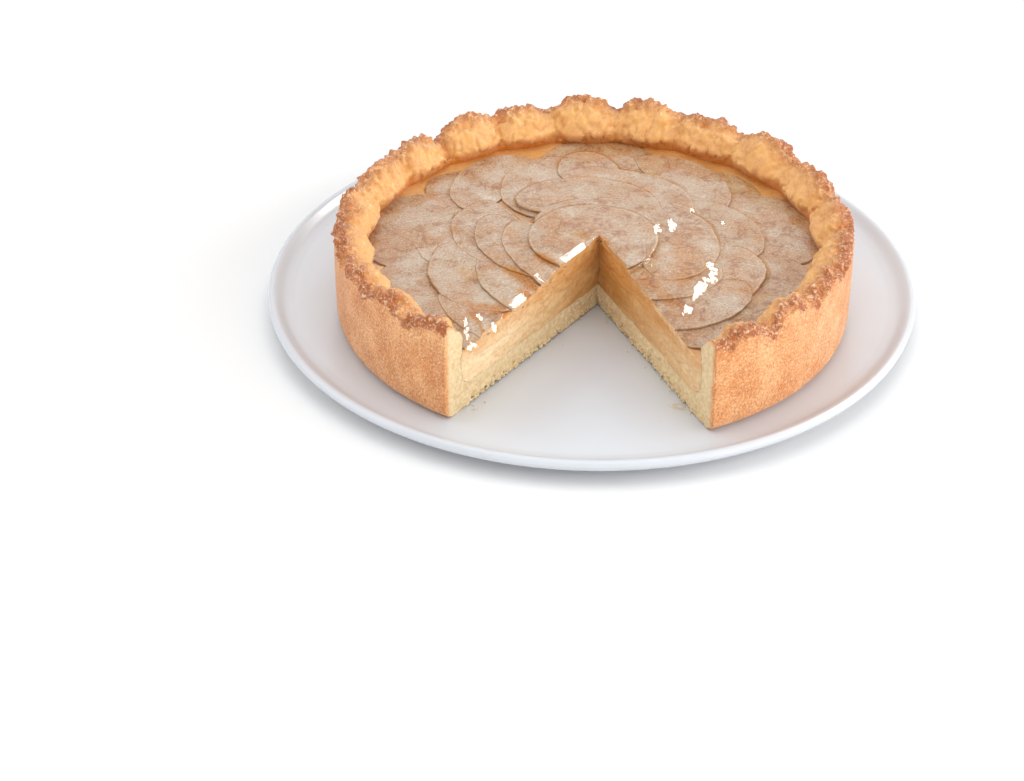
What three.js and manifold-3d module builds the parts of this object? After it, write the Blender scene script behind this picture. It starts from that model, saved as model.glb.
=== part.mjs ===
// Apple tart on its serving plate, with one slice taken out.
//
// A deep shortcrust case holds an apple filling. Thin apple slices lie on the filling in rings,
// each ring overlapping the one outside it, up to one whole apple disc in the middle.
// Millimetres, +Z up. The origin is the middle of the plate's foot, on the table, and the
// missing slice opens towards -Y. Azimuths are in degrees, anticlockwise from +X.

import * as THREE from "three";
import { mergeVertices } from "three/addons/utils/BufferGeometryUtils.js";
import Module from "manifold-3d";

const wasm = await Module();
wasm.setup();

// ---------- driving dimensions ----------

const GAP = 0.3; // clearance between pieces that touch

const PLATE_RADIUS = 165;
const PLATE_WELL_RADIUS = 149; // flat part of the upper face
const PLATE_WELL_Z = 9;
const PLATE_LIP_Z = 13;
const PLATE_FOOT_RADIUS = 98;
const PLATE_SEGMENTS = 72;

const TART_X = 0; // the tart stands a little forward of the plate's middle
const TART_Y = -18;
const TART_BASE_Z = PLATE_WELL_Z + GAP;

const CASE_RADIUS = 129; // a 26 cm springform, less the pastry's shrinkage
const CASE_FOOT_RADIUS = 124.5; // where the rounded lower edge meets the plate
const WALL_THICKNESS = 13.4;
const BASE_THICKNESS = 12;
const CREST_LOW_Z = 54.5; // rim height between two lumps
const CASE_STEPS = 160; // steps round the case

const FILL_SHOULDER_Z = 39.4; // up to here the filling touches the wall all round
const FILL_EDGE_Z = 41.6; // filling and jelly between the outermost slices
const FILL_MIDDLE_Z = 46;
const FILL_STEPS = 60;

const SLICE_THICKNESS = 2.2;
const SLICE_TOP_Z = 42.2; // upper face of the lowest tier
const TIER_RISE = 1.2; // each tier of slices lies this much higher

const CUT_APEX = [3, -1]; // tip of the missing slice, from the tart's centre
const CUT_LEFT_AZIMUTH = 234.8;
const CUT_RIGHT_AZIMUTH = 293.2;
const CUT_REACH = 260; // how far the cutting wedge runs
const ABOVE_ALL_Z = 90; // upper end of everything that cuts

// The rim was pressed up by thumb, one lump after another: azimuth, rise above the low crest,
// half width in degrees.
const RIM_LUMPS = [
  [3, 5.6, 9.6], [22, 5.2, 9.6], [40, 7.8, 9.4], [57, 6.2, 9.4], [74, 9.2, 9.4], [91, 8.8, 9],
  [107, 5.8, 8.4], [122, 7.2, 8], [138, 4.6, 8.4], [154, 3.8, 9.4], [171, 5.8, 9.4], [187, 4.4, 9],
  [203, 3.6, 8.6], [218, 6, 9], [234, 6.6, 8.4], [293, 5, 6.4], [303, 7, 6.4], [317, 8.6, 8.4],
  [331, 7.2, 8.4], [347, 6, 9.2],
];
const RIM_NOTCH = { azimuth: 130.5, depth: 4.5, halfWidth: 2.2 }; // a crack between two lumps
const PILLOW_BULGE = 6; // how far a lump stands into the case above the slices
const PILLOW_FOOT = 0.5; // share of that bulge left at the slices
const CRAG = 1.5; // height of the broken crumbs along the crest

// Apple slices, lowest first: name, azimuth, radius of the outer edge's middle, length, width,
// turn from the tangent, tier.
const SLICES = [
  ["outer_back", 86, 119, 62, 46, 0, 0],
  ["outer_right_back", 41, 108, 58, 40, -4, 0],
  ["outer_right", 11, 122, 76, 56, 0, 0.4],
  ["outer_right_front", -23, 118, 56, 46, 0, 0],
  ["outer_front_right", -48, 118, 62, 46, 0, 0.4],
  ["outer_left_back", 137, 110, 44, 34, 0, 0],
  ["outer_left", 168, 122, 80, 58, 0, 0.4],
  ["outer_left_front", 208, 114, 78, 46, -2, 0],
  ["outer_cut_low", 231, 112, 62, 28, -8, 0.5],
  ["outer_cut_high", 228, 99, 56, 22, -14, 1.3],
  ["middle_left_small", 174, 88, 54, 30, -16, 1],
  ["middle_back_left", 126, 104, 68, 34, 28, 1],
  ["middle_back_right", 74, 99, 54, 32, 0, 1],
  ["middle_right_back", 54, 102, 70, 34, -22, 1.6],
  ["middle_right", 12, 86, 66, 36, 14, 1.8],
  ["middle_back", 109, 88, 70, 37, 66, 1.9],
  ["middle_right_front", 330, 90, 66, 36, -2, 2.3],
  ["middle_cut_right", 311, 94, 62, 32, -8, 2],
  ["middle_left_front", 209, 88, 73, 38, -4, 2],
  ["middle_back_small", 90, 98, 32, 34, 10, 2.6],
  ["middle_left_back", 167, 72, 68, 37, 30, 2.6],
  ["inner_back_outer", 70, 77, 78, 34, -12, 3.2],
  ["inner_left_front", 228, 72, 72, 34, -23, 3],
  ["inner_cut_right", -41, 71, 56, 34, -16, 3.3],
  ["inner_left", 190, 55, 77, 35, 26, 4],
  ["inner_right", 358, 63, 76, 44, 5, 4.1],
  ["inner_back", 93, 65, 76, 46, -17, 4.2],
  ["core_left", 223, 47, 78, 30, -14, 5],
  ["core_back", 66, 43, 70, 44, 15, 5.1],
];
const DISC = { x: 0, y: -2, radius: 32.5, tier: 6 }; // the whole apple disc in the middle
const DISC_BULGE = { azimuth: -61, height: 4.5, halfWidth: 22 }; // it isn't quite round
const OUTER_SHARE = 0.7; // share of a slice's width on the peel side of its long axis

// ---------- colours ----------

const porcelain = new THREE.MeshStandardMaterial({ color: 0xf1f2f2, roughness: 0.15, metalness: 0 });
const shortcrust = new THREE.MeshStandardMaterial({ color: 0xdca263, roughness: 0.85, metalness: 0 });
const apple_filling = new THREE.MeshStandardMaterial({ color: 0xd9b27c, roughness: 0.5, metalness: 0 });
const baked_apple = new THREE.MeshStandardMaterial({ color: 0xcfb493, roughness: 0.3, metalness: 0 });

// ---------- helpers ----------

const radians = THREE.MathUtils.degToRad;

function seededRandom(seed) {
  let state = seed;
  return () => {
    state = (state + 0x6d2b79f5) | 0;
    let t = Math.imul(state ^ (state >>> 15), 1 | state);
    t = (t + Math.imul(t ^ (t >>> 7), 61 | t)) ^ t;
    return ((t ^ (t >>> 14)) >>> 0) / 4294967296;
  };
}

function toSolid(geometry) {
  const bare = geometry.index ? geometry.toNonIndexed() : geometry.clone();
  bare.deleteAttribute("normal");
  bare.deleteAttribute("uv");
  const merged = mergeVertices(bare, 1e-3);
  return new wasm.Manifold(
    new wasm.Mesh({
      numProp: 3,
      vertProperties: merged.attributes.position.array,
      triVerts: new Uint32Array(merged.index.array),
    }),
  );
}

function toGeometry(solid) {
  const mesh = solid.getMesh();
  const geometry = new THREE.BufferGeometry();
  geometry.setAttribute("position", new THREE.BufferAttribute(mesh.vertProperties, 3));
  geometry.setIndex(new THREE.BufferAttribute(mesh.triVerts, 1));
  geometry.computeVertexNormals();
  return geometry;
}

// The largest single body of a cut piece: loose scraps are dropped.
function largestBody(solid) {
  const bodies = solid.decompose();
  return bodies.reduce((best, body) => (body.volume() > best.volume() ? body : best));
}

// An upright prism over a flat outline, from one height to another.
function prism(outline, zLow, zHigh) {
  const shape = new THREE.Shape(outline.map(([x, y]) => new THREE.Vector2(x, y)));
  const geometry = new THREE.ExtrudeGeometry(shape, { depth: zHigh - zLow, bevelEnabled: false });
  geometry.translate(0, 0, zLow);
  return toSolid(geometry);
}

function lathe(profile, segments) {
  const points = profile.map(([r, z]) => new THREE.Vector2(r, z));
  const geometry = new THREE.LatheGeometry(points, segments);
  geometry.rotateX(Math.PI / 2); // the lathe turns about Y, the tart stands along Z
  return geometry;
}

// The space of the missing slice, through the whole height.
function missingSlice() {
  const [x, y] = CUT_APEX;
  const reachTo = (azimuth) => [
    x + CUT_REACH * Math.cos(radians(azimuth)),
    y + CUT_REACH * Math.sin(radians(azimuth)),
  ];
  return prism([CUT_APEX, reachTo(CUT_LEFT_AZIMUTH), reachTo(CUT_RIGHT_AZIMUTH)], 0, ABOVE_ALL_Z);
}

// ---------- plate ----------

function plate() {
  const profile = [
    [0, 3.2], [90, 3.2], [92.6, 0], [PLATE_FOOT_RADIUS, 0], [101.5, 2.6],
    [150, 5.2], [159, 6.3], [163.2, 7.8], [PLATE_RADIUS, 10.4], [164.6, 12.2],
    [163.2, PLATE_LIP_Z], [161, 12.7], [155, 10.2], [PLATE_WELL_RADIUS, PLATE_WELL_Z],
    [0, PLATE_WELL_Z],
  ];
  const mesh = new THREE.Mesh(lathe(profile, PLATE_SEGMENTS), porcelain);
  mesh.name = "plate";
  return mesh;
}

// ---------- shortcrust case ----------

// Shortest way round from one azimuth to another, in degrees.
function turnBetween(a, b) {
  return Math.abs(((a - b + 540) % 360) - 180);
}

// From 0 between two lumps to 1 on the nearest lump's top, and the rise there.
function lumpAt(azimuth) {
  let share = 0;
  let rise = 0;
  for (const [middle, height, halfWidth] of RIM_LUMPS) {
    const here = 1 - (turnBetween(azimuth, middle) / halfWidth) ** 2;
    share = Math.max(share, here);
    rise = Math.max(rise, height * here);
  }
  const notch = Math.exp(-((turnBetween(azimuth, RIM_NOTCH.azimuth) / RIM_NOTCH.halfWidth) ** 2));
  return { share, rise: rise - RIM_NOTCH.depth * notch };
}

// The case's section at an azimuth, from the middle of its underside round to the middle of
// its floor. Each row is radius, height and how far crumbs may stand out there.
function caseSection(azimuth) {
  const { share, rise } = lumpAt(azimuth);
  const crest = CREST_LOW_Z + rise;
  const inner = CASE_RADIUS - WALL_THICKNESS;
  const floor = TART_BASE_Z + BASE_THICKNESS;
  const bulge = PILLOW_BULGE * share;
  const foot = 42.6; // just above the outermost slices
  const belly = THREE.MathUtils.clamp(crest - 7.4, foot + 1.8, foot + 5.8);
  const lean = 1.2 * share; // lumps lean a little inwards
  return [
    [0, TART_BASE_Z, 0],
    [CASE_FOOT_RADIUS, TART_BASE_Z, 0],
    [CASE_RADIUS - 2, TART_BASE_Z + 1.6, 0],
    [CASE_RADIUS - 0.3, TART_BASE_Z + 5, 0],
    [CASE_RADIUS, TART_BASE_Z + 16, 0],
    [CASE_RADIUS, TART_BASE_Z + 32, 0],
    [CASE_RADIUS - 0.4, crest - 6.5, 0.2],
    [CASE_RADIUS - 0.9, crest - 3.2, 0.6],
    [CASE_RADIUS - 2.4 - lean, crest - 0.8, 1],
    [CASE_RADIUS - 4.8 - lean, crest, 1],
    [CASE_RADIUS - 7.6 - lean, crest - 0.9, 1],
    [CASE_RADIUS - 10 - lean - 0.3 * bulge, crest - 3.2, 0.8],
    [inner - 0.6 * bulge + 1, crest - 6.4, 0.5],
    [inner - bulge, belly, 0.2],
    [inner - 0.9 * bulge, (belly + foot) / 2, 0.1],
    [inner - PILLOW_FOOT * bulge, foot, 0],
    [inner - PILLOW_FOOT * bulge, FILL_SHOULDER_Z + 1.2, 0],
    [inner, FILL_SHOULDER_Z + 0.5, 0],
    [inner - 0.2, floor + 8, 0],
    [inner - 1.6, floor + 3, 0],
    [inner - 5.5, floor, 0],
    [0, floor, 0],
  ];
}

// One closed skin from sections set round the axis: the first and last point lie on the axis.
function skinOfSections(sectionAt, steps, crag) {
  const random = seededRandom(11);
  const positions = [];
  const triangles = [];
  const rows = sectionAt(0).length;
  const inner = rows - 2; // points between the two on the axis
  for (let step = 0; step < steps; step++) {
    const azimuth = (360 * step) / steps;
    const section = sectionAt(azimuth);
    for (let row = 1; row <= inner; row++) {
      const [radius, height, rough] = section[row];
      const r = radius - crag * rough * 0.7 * random();
      const z = height + crag * rough * (random() - 0.5) * 2;
      const turn = radians(azimuth + rough * (random() - 0.5));
      positions.push(r * Math.cos(turn), r * Math.sin(turn), z);
    }
  }
  const bottom = positions.length / 3;
  positions.push(0, 0, sectionAt(0)[0][1]);
  positions.push(0, 0, sectionAt(0)[rows - 1][1]);
  for (let step = 0; step < steps; step++) {
    const here = step * inner;
    const next = ((step + 1) % steps) * inner;
    triangles.push(bottom, next, here);
    for (let row = 0; row < inner - 1; row++) {
      triangles.push(here + row, next + row, here + row + 1);
      triangles.push(next + row, next + row + 1, here + row + 1);
    }
    triangles.push(bottom + 1, here + inner - 1, next + inner - 1);
  }
  const geometry = new THREE.BufferGeometry();
  geometry.setAttribute("position", new THREE.Float32BufferAttribute(positions, 3));
  geometry.setIndex(triangles);
  return geometry;
}

function crust(gapForSlice) {
  const whole = toSolid(skinOfSections(caseSection, CASE_STEPS, CRAG));
  const mesh = new THREE.Mesh(toGeometry(largestBody(whole.subtract(gapForSlice))), shortcrust);
  mesh.name = "crust";
  return mesh;
}

// The room inside the case at the slices' height, clear of the lumps that stand into it.
function roomInCase() {
  const outline = Array.from({ length: CASE_STEPS }, (_, step) => {
    const azimuth = (360 * step) / CASE_STEPS;
    const bulge = PILLOW_BULGE * PILLOW_FOOT * lumpAt(azimuth).share;
    const radius = CASE_RADIUS - WALL_THICKNESS - bulge - GAP;
    return [radius * Math.cos(radians(azimuth)), radius * Math.sin(radians(azimuth))];
  });
  return prism(outline, TART_BASE_Z, ABOVE_ALL_Z);
}

// ---------- filling ----------

// It fills the case, its domed top shows between the slices, and each slice lies in its own bed.
function filling(gapForSlice, laid) {
  const floor = TART_BASE_Z + BASE_THICKNESS + GAP;
  const side = CASE_RADIUS - WALL_THICKNESS - 0.2 - GAP;
  const body = [
    [0, floor], [side - 5.6, floor], [side - 1.6, floor + 3], [side - 0.2, floor + 8],
    [side - 0.1, FILL_SHOULDER_Z], [0, FILL_SHOULDER_Z],
  ];
  const dome = [
    [0, FILL_SHOULDER_Z - 1], [side, FILL_SHOULDER_Z - 1], [side, FILL_EDGE_Z],
    [0.6 * side, FILL_EDGE_Z + 1.6], [0.3 * side, FILL_MIDDLE_Z - 1], [0, FILL_MIDDLE_Z],
  ];
  const domeInCase = toSolid(lathe(dome, FILL_STEPS)).intersect(roomInCase());
  let solid = toSolid(lathe(body, FILL_STEPS)).add(domeInCase);
  for (const piece of laid) {
    solid = solid.subtract(prism(piece.grown, piece.top - SLICE_THICKNESS - GAP, ABOVE_ALL_Z));
  }
  const mesh = new THREE.Mesh(toGeometry(largestBody(solid.subtract(gapForSlice))), apple_filling);
  mesh.name = "filling";
  return mesh;
}

// ---------- apple slices ----------

// A slice's outline, seen from above: a full curve on the peel side, a flatter one on the core
// side. `grow` widens it all round, for the cut that it leaves in lower slices.
function sliceOutline([, azimuth, edge, length, width, turn], grow = 0) {
  const outerPoints = 9;
  const corePoints = 5;
  const peel = width * OUTER_SHARE;
  const core = width - peel;
  const direction = radians(azimuth - 90 + turn);
  const middleX = (edge - peel) * Math.cos(radians(azimuth));
  const middleY = (edge - peel) * Math.sin(radians(azimuth));
  const outline = [];
  const add = (angle, half) => {
    const x = (length / 2 + grow) * Math.cos(angle);
    const y = (half + grow) * Math.sin(angle);
    outline.push([
      middleX + x * Math.cos(direction) - y * Math.sin(direction),
      middleY + x * Math.sin(direction) + y * Math.cos(direction),
    ]);
  };
  for (let i = 0; i < outerPoints; i++) add((Math.PI * i) / (outerPoints - 1), peel);
  for (let i = 1; i <= corePoints; i++) add(Math.PI + (Math.PI * i) / (corePoints + 1), core);
  return outline;
}

function discOutline(grow = 0) {
  const points = 32;
  return Array.from({ length: points }, (_, i) => {
    const angle = (2 * Math.PI * i) / points;
    const away = turnBetween(THREE.MathUtils.radToDeg(angle), DISC_BULGE.azimuth);
    const bulge = DISC_BULGE.height * Math.exp(-((away / DISC_BULGE.halfWidth) ** 2));
    const radius = DISC.radius + bulge + grow;
    return [DISC.x + radius * Math.cos(angle), DISC.y + radius * Math.sin(angle)];
  });
}

// Every piece with its outline at two sizes and the height of its upper face.
function laidPieces() {
  const laid = SLICES.map((slice) => ({
    name: "slice_" + slice[0],
    tier: slice[6],
    outline: sliceOutline(slice),
    grown: sliceOutline(slice, GAP),
  }));
  laid.push({ name: "slice_centre_disc", tier: DISC.tier, outline: discOutline(), grown: discOutline(GAP) });
  return laid.map((piece) => ({ ...piece, top: SLICE_TOP_Z + piece.tier * TIER_RISE }));
}

// A lower slice gives way to each slice laid over it. One that lies at nearly its own height
// takes its place through the whole thickness, so no sliver is left.
function appleSlices(gapForSlice, laid) {
  const room = roomInCase();
  return laid.map((piece, index) => {
    let solid = prism(piece.outline, piece.top - SLICE_THICKNESS, piece.top).intersect(room);
    for (const upper of laid.slice(index + 1)) {
      const beside = Math.abs(upper.top - piece.top) < 0.7 * TIER_RISE;
      const from = beside ? TART_BASE_Z : upper.top - SLICE_THICKNESS - GAP;
      if (from < piece.top) solid = solid.subtract(prism(upper.grown, from, ABOVE_ALL_Z));
    }
    const mesh = new THREE.Mesh(toGeometry(largestBody(solid.subtract(gapForSlice))), baked_apple);
    mesh.name = piece.name;
    return mesh;
  });
}

// ---------- assembly ----------

const tart = new THREE.Group();
tart.position.set(TART_X, TART_Y, 0);
const gapForSlice = missingSlice();
const laid = laidPieces();
tart.add(crust(gapForSlice), filling(gapForSlice, laid), ...appleSlices(gapForSlice, laid));

const servedTart = new THREE.Group();
servedTart.add(plate(), tart);

export default servedTart;
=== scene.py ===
"""An apple tart in a shortcrust case with one slice taken out, on its flat white plate."""

import math
import random

import bmesh
import bpy
import numpy as np
from mathutils import Matrix, Vector, noise
from mathutils.geometry import delaunay_2d_cdt


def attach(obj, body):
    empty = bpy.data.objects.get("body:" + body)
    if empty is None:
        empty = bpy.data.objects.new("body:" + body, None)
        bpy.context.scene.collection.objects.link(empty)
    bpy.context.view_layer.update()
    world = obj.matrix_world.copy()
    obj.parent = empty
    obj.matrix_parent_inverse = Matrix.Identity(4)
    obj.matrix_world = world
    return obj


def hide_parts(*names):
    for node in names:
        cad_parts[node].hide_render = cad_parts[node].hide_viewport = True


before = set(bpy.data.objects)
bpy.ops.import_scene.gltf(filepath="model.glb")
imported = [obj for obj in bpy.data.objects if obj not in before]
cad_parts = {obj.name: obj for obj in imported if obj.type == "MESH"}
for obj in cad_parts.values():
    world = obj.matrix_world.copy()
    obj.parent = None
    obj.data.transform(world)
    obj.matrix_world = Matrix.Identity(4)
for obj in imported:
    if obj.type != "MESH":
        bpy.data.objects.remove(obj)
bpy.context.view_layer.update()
MM = 0.001
scene = bpy.context.scene

# ---------- the plate ----------
# A flat coupe plate of hard porcelain, turned on a wheel with a raised lip and a foot ring, and
# dipped in a clear glaze. The tart stands a little in front of its middle.

PLATE_RADIUS = 165
PLATE_WELL_Z = 9
PLATE_STEPS = 288
TART = np.array([0.0, -18.0])  # the tart's middle on the plate


def linear(colour):
    """An sRGB hex colour as the linear colour that a node takes."""
    shares = [int(colour[i : i + 2], 16) / 255 for i in (1, 3, 5)]
    return [c / 12.92 if c <= 0.04045 else ((c + 0.055) / 1.055) ** 2.4 for c in shares] + [1.0]


def add(tree, kind, inputs=None, out=0, **settings):
    """Adds a node to a tree and returns its first output, or the one of another name or place.
    An input given as a socket is linked, a hex colour is turned to linear, and any other is set."""
    node = tree.nodes.new("ShaderNode" + kind)
    for name, value in settings.items():
        setattr(node, name, value)
    for name, value in (inputs or {}).items():
        if isinstance(value, bpy.types.NodeSocket):
            tree.links.new(value, node.inputs[name])
        else:
            node.inputs[name].default_value = linear(value) if isinstance(value, str) else value
    return node.outputs[out] if node.outputs else None


def new_material(name):
    """A material with an empty node tree."""
    material = bpy.data.materials.new(name)
    material.use_nodes = True
    material.node_tree.nodes.clear()
    return material, material.node_tree


# The places of a colour Mix node's sockets, which share their names with the other kinds of mix.
SHARE, FIRST, SECOND, MIXED = 0, 6, 7, 2


def smooth(mesh, angle=180):
    """Smooths a mesh over edges up to that angle between their faces."""
    mesh.polygons.foreach_set("use_smooth", [True] * len(mesh.polygons))
    if angle < 180:
        mesh.set_sharp_from_angle(angle=math.radians(angle))


def solid_object(name, points, faces, smooth_angle=180):
    """A mesh object from points in millimetres, smooth up to that angle."""
    mesh = bpy.data.meshes.new(name)
    mesh.from_pydata((np.asarray(points) * MM).tolist(), [], [list(map(int, f)) for f in faces])
    mesh.validate()
    smooth(mesh, smooth_angle)
    made = bpy.data.objects.new(name, mesh)
    scene.collection.objects.link(made)
    return made


def paint(made, name, values):
    """Gives a mesh a number at each point, or one for all, which its material reads by that name."""
    layer = made.data.attributes.new(name, "FLOAT", "POINT")
    layer.data.foreach_set("value", np.full(len(layer.data), values, np.float32))


def smooth_line(corners, steps):
    """A smooth curve through corner points, as a Catmull-Rom spline. steps holds each span's count."""
    corners = np.asarray(corners, float)
    padded = np.concatenate([corners[:1], corners, corners[-1:]])
    parts = []
    for span, count in enumerate(steps):
        before, start, end, after = padded[span : span + 4]
        for i in range(count):
            t = i / count
            parts.append(
                start
                + 0.5 * t * (end - before)
                + t**2 * (before - 2.5 * start + 2 * end - 0.5 * after)
                + t**3 * (1.5 * (start - end) + 0.5 * (after - before))
            )
    parts.append(corners[-1])
    return np.array(parts)


# The plate's section, as radius and height: underneath from the middle, over the foot ring and the
# lip, and back to the middle of the well.
plate_profile = [
    [0, 3.2], [90, 3.2], [92.6, 0], [98, 0], [101.5, 2.6], [150, 5.2], [159, 6.3], [163.2, 7.8],
    [PLATE_RADIUS, 10.4], [164.6, 12.2], [163.2, 13], [161.2, 12.6], [156.6, 10],
    [151.5, PLATE_WELL_Z], [0, PLATE_WELL_Z],
]  # fmt: skip
plate_line = np.array(plate_profile, float)
rim_line = smooth_line(plate_line[5:14], [4, 4, 5, 5, 5, 5, 6, 5])
plate_line = np.concatenate([plate_line[:5], rim_line, plate_line[14:]])
turns = np.arange(PLATE_STEPS) * 2 * math.pi / PLATE_STEPS
plate_points = [[0, 0, plate_line[0, 1]]]
for turn in turns:
    plate_points += [[r * math.cos(turn), r * math.sin(turn), z] for r, z in plate_line[1:-1]]
plate_points.append([0, 0, PLATE_WELL_Z])
ring = len(plate_line) - 2
last = len(plate_points) - 1
plate_faces = []
for step in range(PLATE_STEPS):
    here = 1 + step * ring
    there = 1 + (step + 1) % PLATE_STEPS * ring
    plate_faces += [[0, there, here], [last, here + ring - 1, there + ring - 1]]
    plate_faces += [[here + i, there + i, there + i + 1, here + i + 1] for i in range(ring - 1)]
plate = solid_object("plate_glazed", plate_points, plate_faces, 35)

# Glazed hard porcelain, fired to a cool white: a smooth gloss with the faint roll of poured glaze.
porcelain, tree = new_material("glazed_porcelain")
place = add(tree, "TexCoord", out="Object")
roll = add(tree, "TexNoise", {"Vector": place, "Scale": 1 / (30 * MM), "Detail": 1.0})
bump = add(tree, "Bump", {"Height": roll, "Strength": 0.3, "Distance": 0.05 * MM})
white = add(tree, "Mix", {SHARE: roll, FIRST: "#CFD3D9", SECOND: "#D3D7DD"}, MIXED, data_type="RGBA")
glaze = add(tree, "BsdfPrincipled", {"Base Color": white, "Roughness": 0.26, "IOR": 1.5, "Normal": bump})
add(tree, "OutputMaterial", {"Surface": glaze})
plate.data.materials.append(porcelain)
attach(plate, "root")
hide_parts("plate")

# ---------- the shortcrust case ----------
# Sweet shortcrust, pressed into a springform tin, its rim pinched up by hand into uneven lumps and
# baked brown. Two straight cuts to a point near the middle show the pale crumb inside.

CASE_RADIUS = 129
WALL_THICKNESS = 13.4
CASE_BASE_Z = 9.3
CASE_FLOOR_Z = 21.3
CREST_LOW_Z = 54.5
WALL_INSIDE = CASE_RADIUS - WALL_THICKNESS
CUT_POINT = np.array([3.0, -1.0])  # where both cuts meet, from the tart's middle
CUT_RIGHT, CUT_LEFT = 293.2, 234.8 + 360  # azimuths of the two cuts, the tart between them
CUT_REACH = 112  # from the cuts' point to the wall
RIM_MIDDLE = 123
COLUMNS = 800
# Each pinched lump: its azimuth, how far it rises over the dips, and half its width in degrees.
RIM_LUMPS = [
    [3, 5.6, 9.6], [22, 5.2, 9.6], [40, 7.8, 9.4], [57, 6.2, 9.4], [74, 9.2, 9.4],
    [91, 8.8, 9], [107, 5.8, 8.4], [122, 7.2, 8], [138, 4.6, 8.4], [154, 3.8, 9.4],
    [171, 5.8, 9.4], [187, 4.4, 9], [203, 3.6, 8.6], [218, 6, 9], [234, 6.6, 8.4],
    [293, 5, 6.4], [303, 7, 6.4], [317, 8.6, 8.4], [331, 7.2, 8.4], [347, 6, 9.2],
]  # fmt: skip
NOTCH_AZIMUTH, NOTCH_DEPTH, NOTCH_WIDTH = 130.5, 4.5, 2.2


def way_at(azimuth):
    """The level way that an azimuth in degrees points in."""
    return np.array([np.cos(np.radians(azimuth)), np.sin(np.radians(azimuth))])


def from_cut(x, y, way):
    """How far a point is along a cut that runs that way, and how far to its left."""
    along = (x - CUT_POINT[0]) * way[0] + (y - CUT_POINT[1]) * way[1]
    return along, (y - CUT_POINT[1]) * way[0] - (x - CUT_POINT[0]) * way[1]


def ease(share):
    """A soft step from 0 to 1."""
    share = np.clip(share, 0, 1)
    return share * share * (3 - 2 * share)


def bumps(points, size, seed, octaves=1):
    """A smooth random height at each point, about -1 to 1, whose bumps are that wide."""
    shift = Vector((seed * 7.3, seed * -3.1, seed * 5.7))
    return np.array([noise.fractal(Vector(p) / size + shift, 1.0, 2.0, octaves) for p in points])


def rubble(points, size, seed):
    """Rounded crumbs side by side: 1 on a crumb's top, down to about 0 in the cracks between."""
    shift = Vector((seed * 5.9, seed * 2.3, seed * -4.1))
    near = np.array([noise.voronoi(Vector(p) / size + shift)[0][0] for p in points])
    return 1 - (near / 0.75) ** 2


def turn_between(azimuth, middle):
    """The turn in degrees from one azimuth to another, from -180 to 180."""
    return (azimuth - middle + 180) % 360 - 180


def lump_at(azimuth):
    """From 0 between two lumps to 1 on the nearest one's top, and the rise of the rim there."""
    share = np.zeros_like(azimuth)
    rise = np.zeros_like(azimuth)
    for middle, height, half_width in RIM_LUMPS:
        away = turn_between(azimuth, middle)
        here = 1 - (away / half_width) ** 2
        share = np.maximum(share, here)
        rise = np.maximum(rise, height * here)
    away = turn_between(azimuth, NOTCH_AZIMUTH)
    return share, rise - NOTCH_DEPTH * np.exp(-((away / NOTCH_WIDTH) ** 2))


def along_cut(azimuth, radius):
    """The point at a radius from the tart's middle on the ray from the cuts' point."""
    way = np.moveaxis(way_at(azimuth), 0, -1)
    ahead = way @ CUT_POINT
    reach = -ahead + np.sqrt(np.maximum(ahead**2 - CUT_POINT @ CUT_POINT + radius**2, 0))
    return CUT_POINT + way * reach[..., None]


def to_cut(x, y):
    """How far a point is from the nearer cut face, in millimetres. It is less than 0 in the gap."""
    nearest = np.full(np.shape(x), 1e9)
    in_gap = np.ones(np.shape(x), bool)
    for azimuth, side in ((CUT_RIGHT, -1), (CUT_LEFT, 1)):
        ahead, aside = from_cut(x, y, way_at(azimuth))
        nearest = np.minimum(nearest, np.hypot(np.minimum(ahead, 0), aside))
        in_gap &= side * aside > 0
    return np.where(in_gap, -nearest, nearest)


def fill_outline(outline, spacing, seed, strewn=True):
    """Triangles over a flat outline, with points strewn inside it.
    Returns the strewn points, and triangles that count the outline's points first."""
    outline = np.asarray(outline, float)
    after = np.roll(outline, -1, axis=0)
    inner = np.zeros((0, 2))
    if strewn:
        draw = np.random.default_rng(seed)
        low, high = outline.min(0), outline.max(0)
        row_height = spacing * 0.866  # of even-sided triangles
        columns_at = np.arange(low[0], high[0], spacing)
        rows_at = np.arange(low[1], high[1], row_height)
        across, up = np.meshgrid(columns_at, rows_at)
        across = across + (np.arange(len(across)) % 2)[:, None] * spacing / 2
        inner = np.stack([across.ravel(), up.ravel()], -1)
        inner = inner + draw.uniform(-0.3, 0.3, inner.shape) * spacing
        inside = np.zeros(len(inner), bool)
        nearest = np.full(len(inner), 1e9)
        for start, end in zip(outline, after):
            if start[1] != end[1]:
                crossing = (inner[:, 1] < start[1]) != (inner[:, 1] < end[1])
                at = start[0] + (inner[:, 1] - start[1]) * (end[0] - start[0]) / (end[1] - start[1])
                inside ^= crossing & (inner[:, 0] < at)
            edge = end - start
            share = np.clip((inner - start) @ edge / max(edge @ edge, 1e-12), 0, 1)
            gap = inner - start - share[:, None] * edge
            nearest = np.minimum(nearest, np.hypot(gap[:, 0], gap[:, 1]))
        inner = inner[inside & (nearest > 0.55 * spacing)]
    count = len(outline)
    points = [Vector(p) for p in np.concatenate([outline, inner])]
    found = delaunay_2d_cdt(points, [], [list(range(count))], 1, 1e-6)
    origin = [ids[0] for ids in found[3]]
    return inner, [[origin[i] for i in face] for face in found[2]]


def pared(azimuth):
    """1 at a cut, where the rim's inner side slopes back, to 0 a few degrees off."""
    off_right = np.abs(turn_between(azimuth, CUT_RIGHT))
    off_left = np.abs(turn_between(azimuth, CUT_LEFT))
    return np.exp(-((np.minimum(off_right, off_left) / 4) ** 2))


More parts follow.
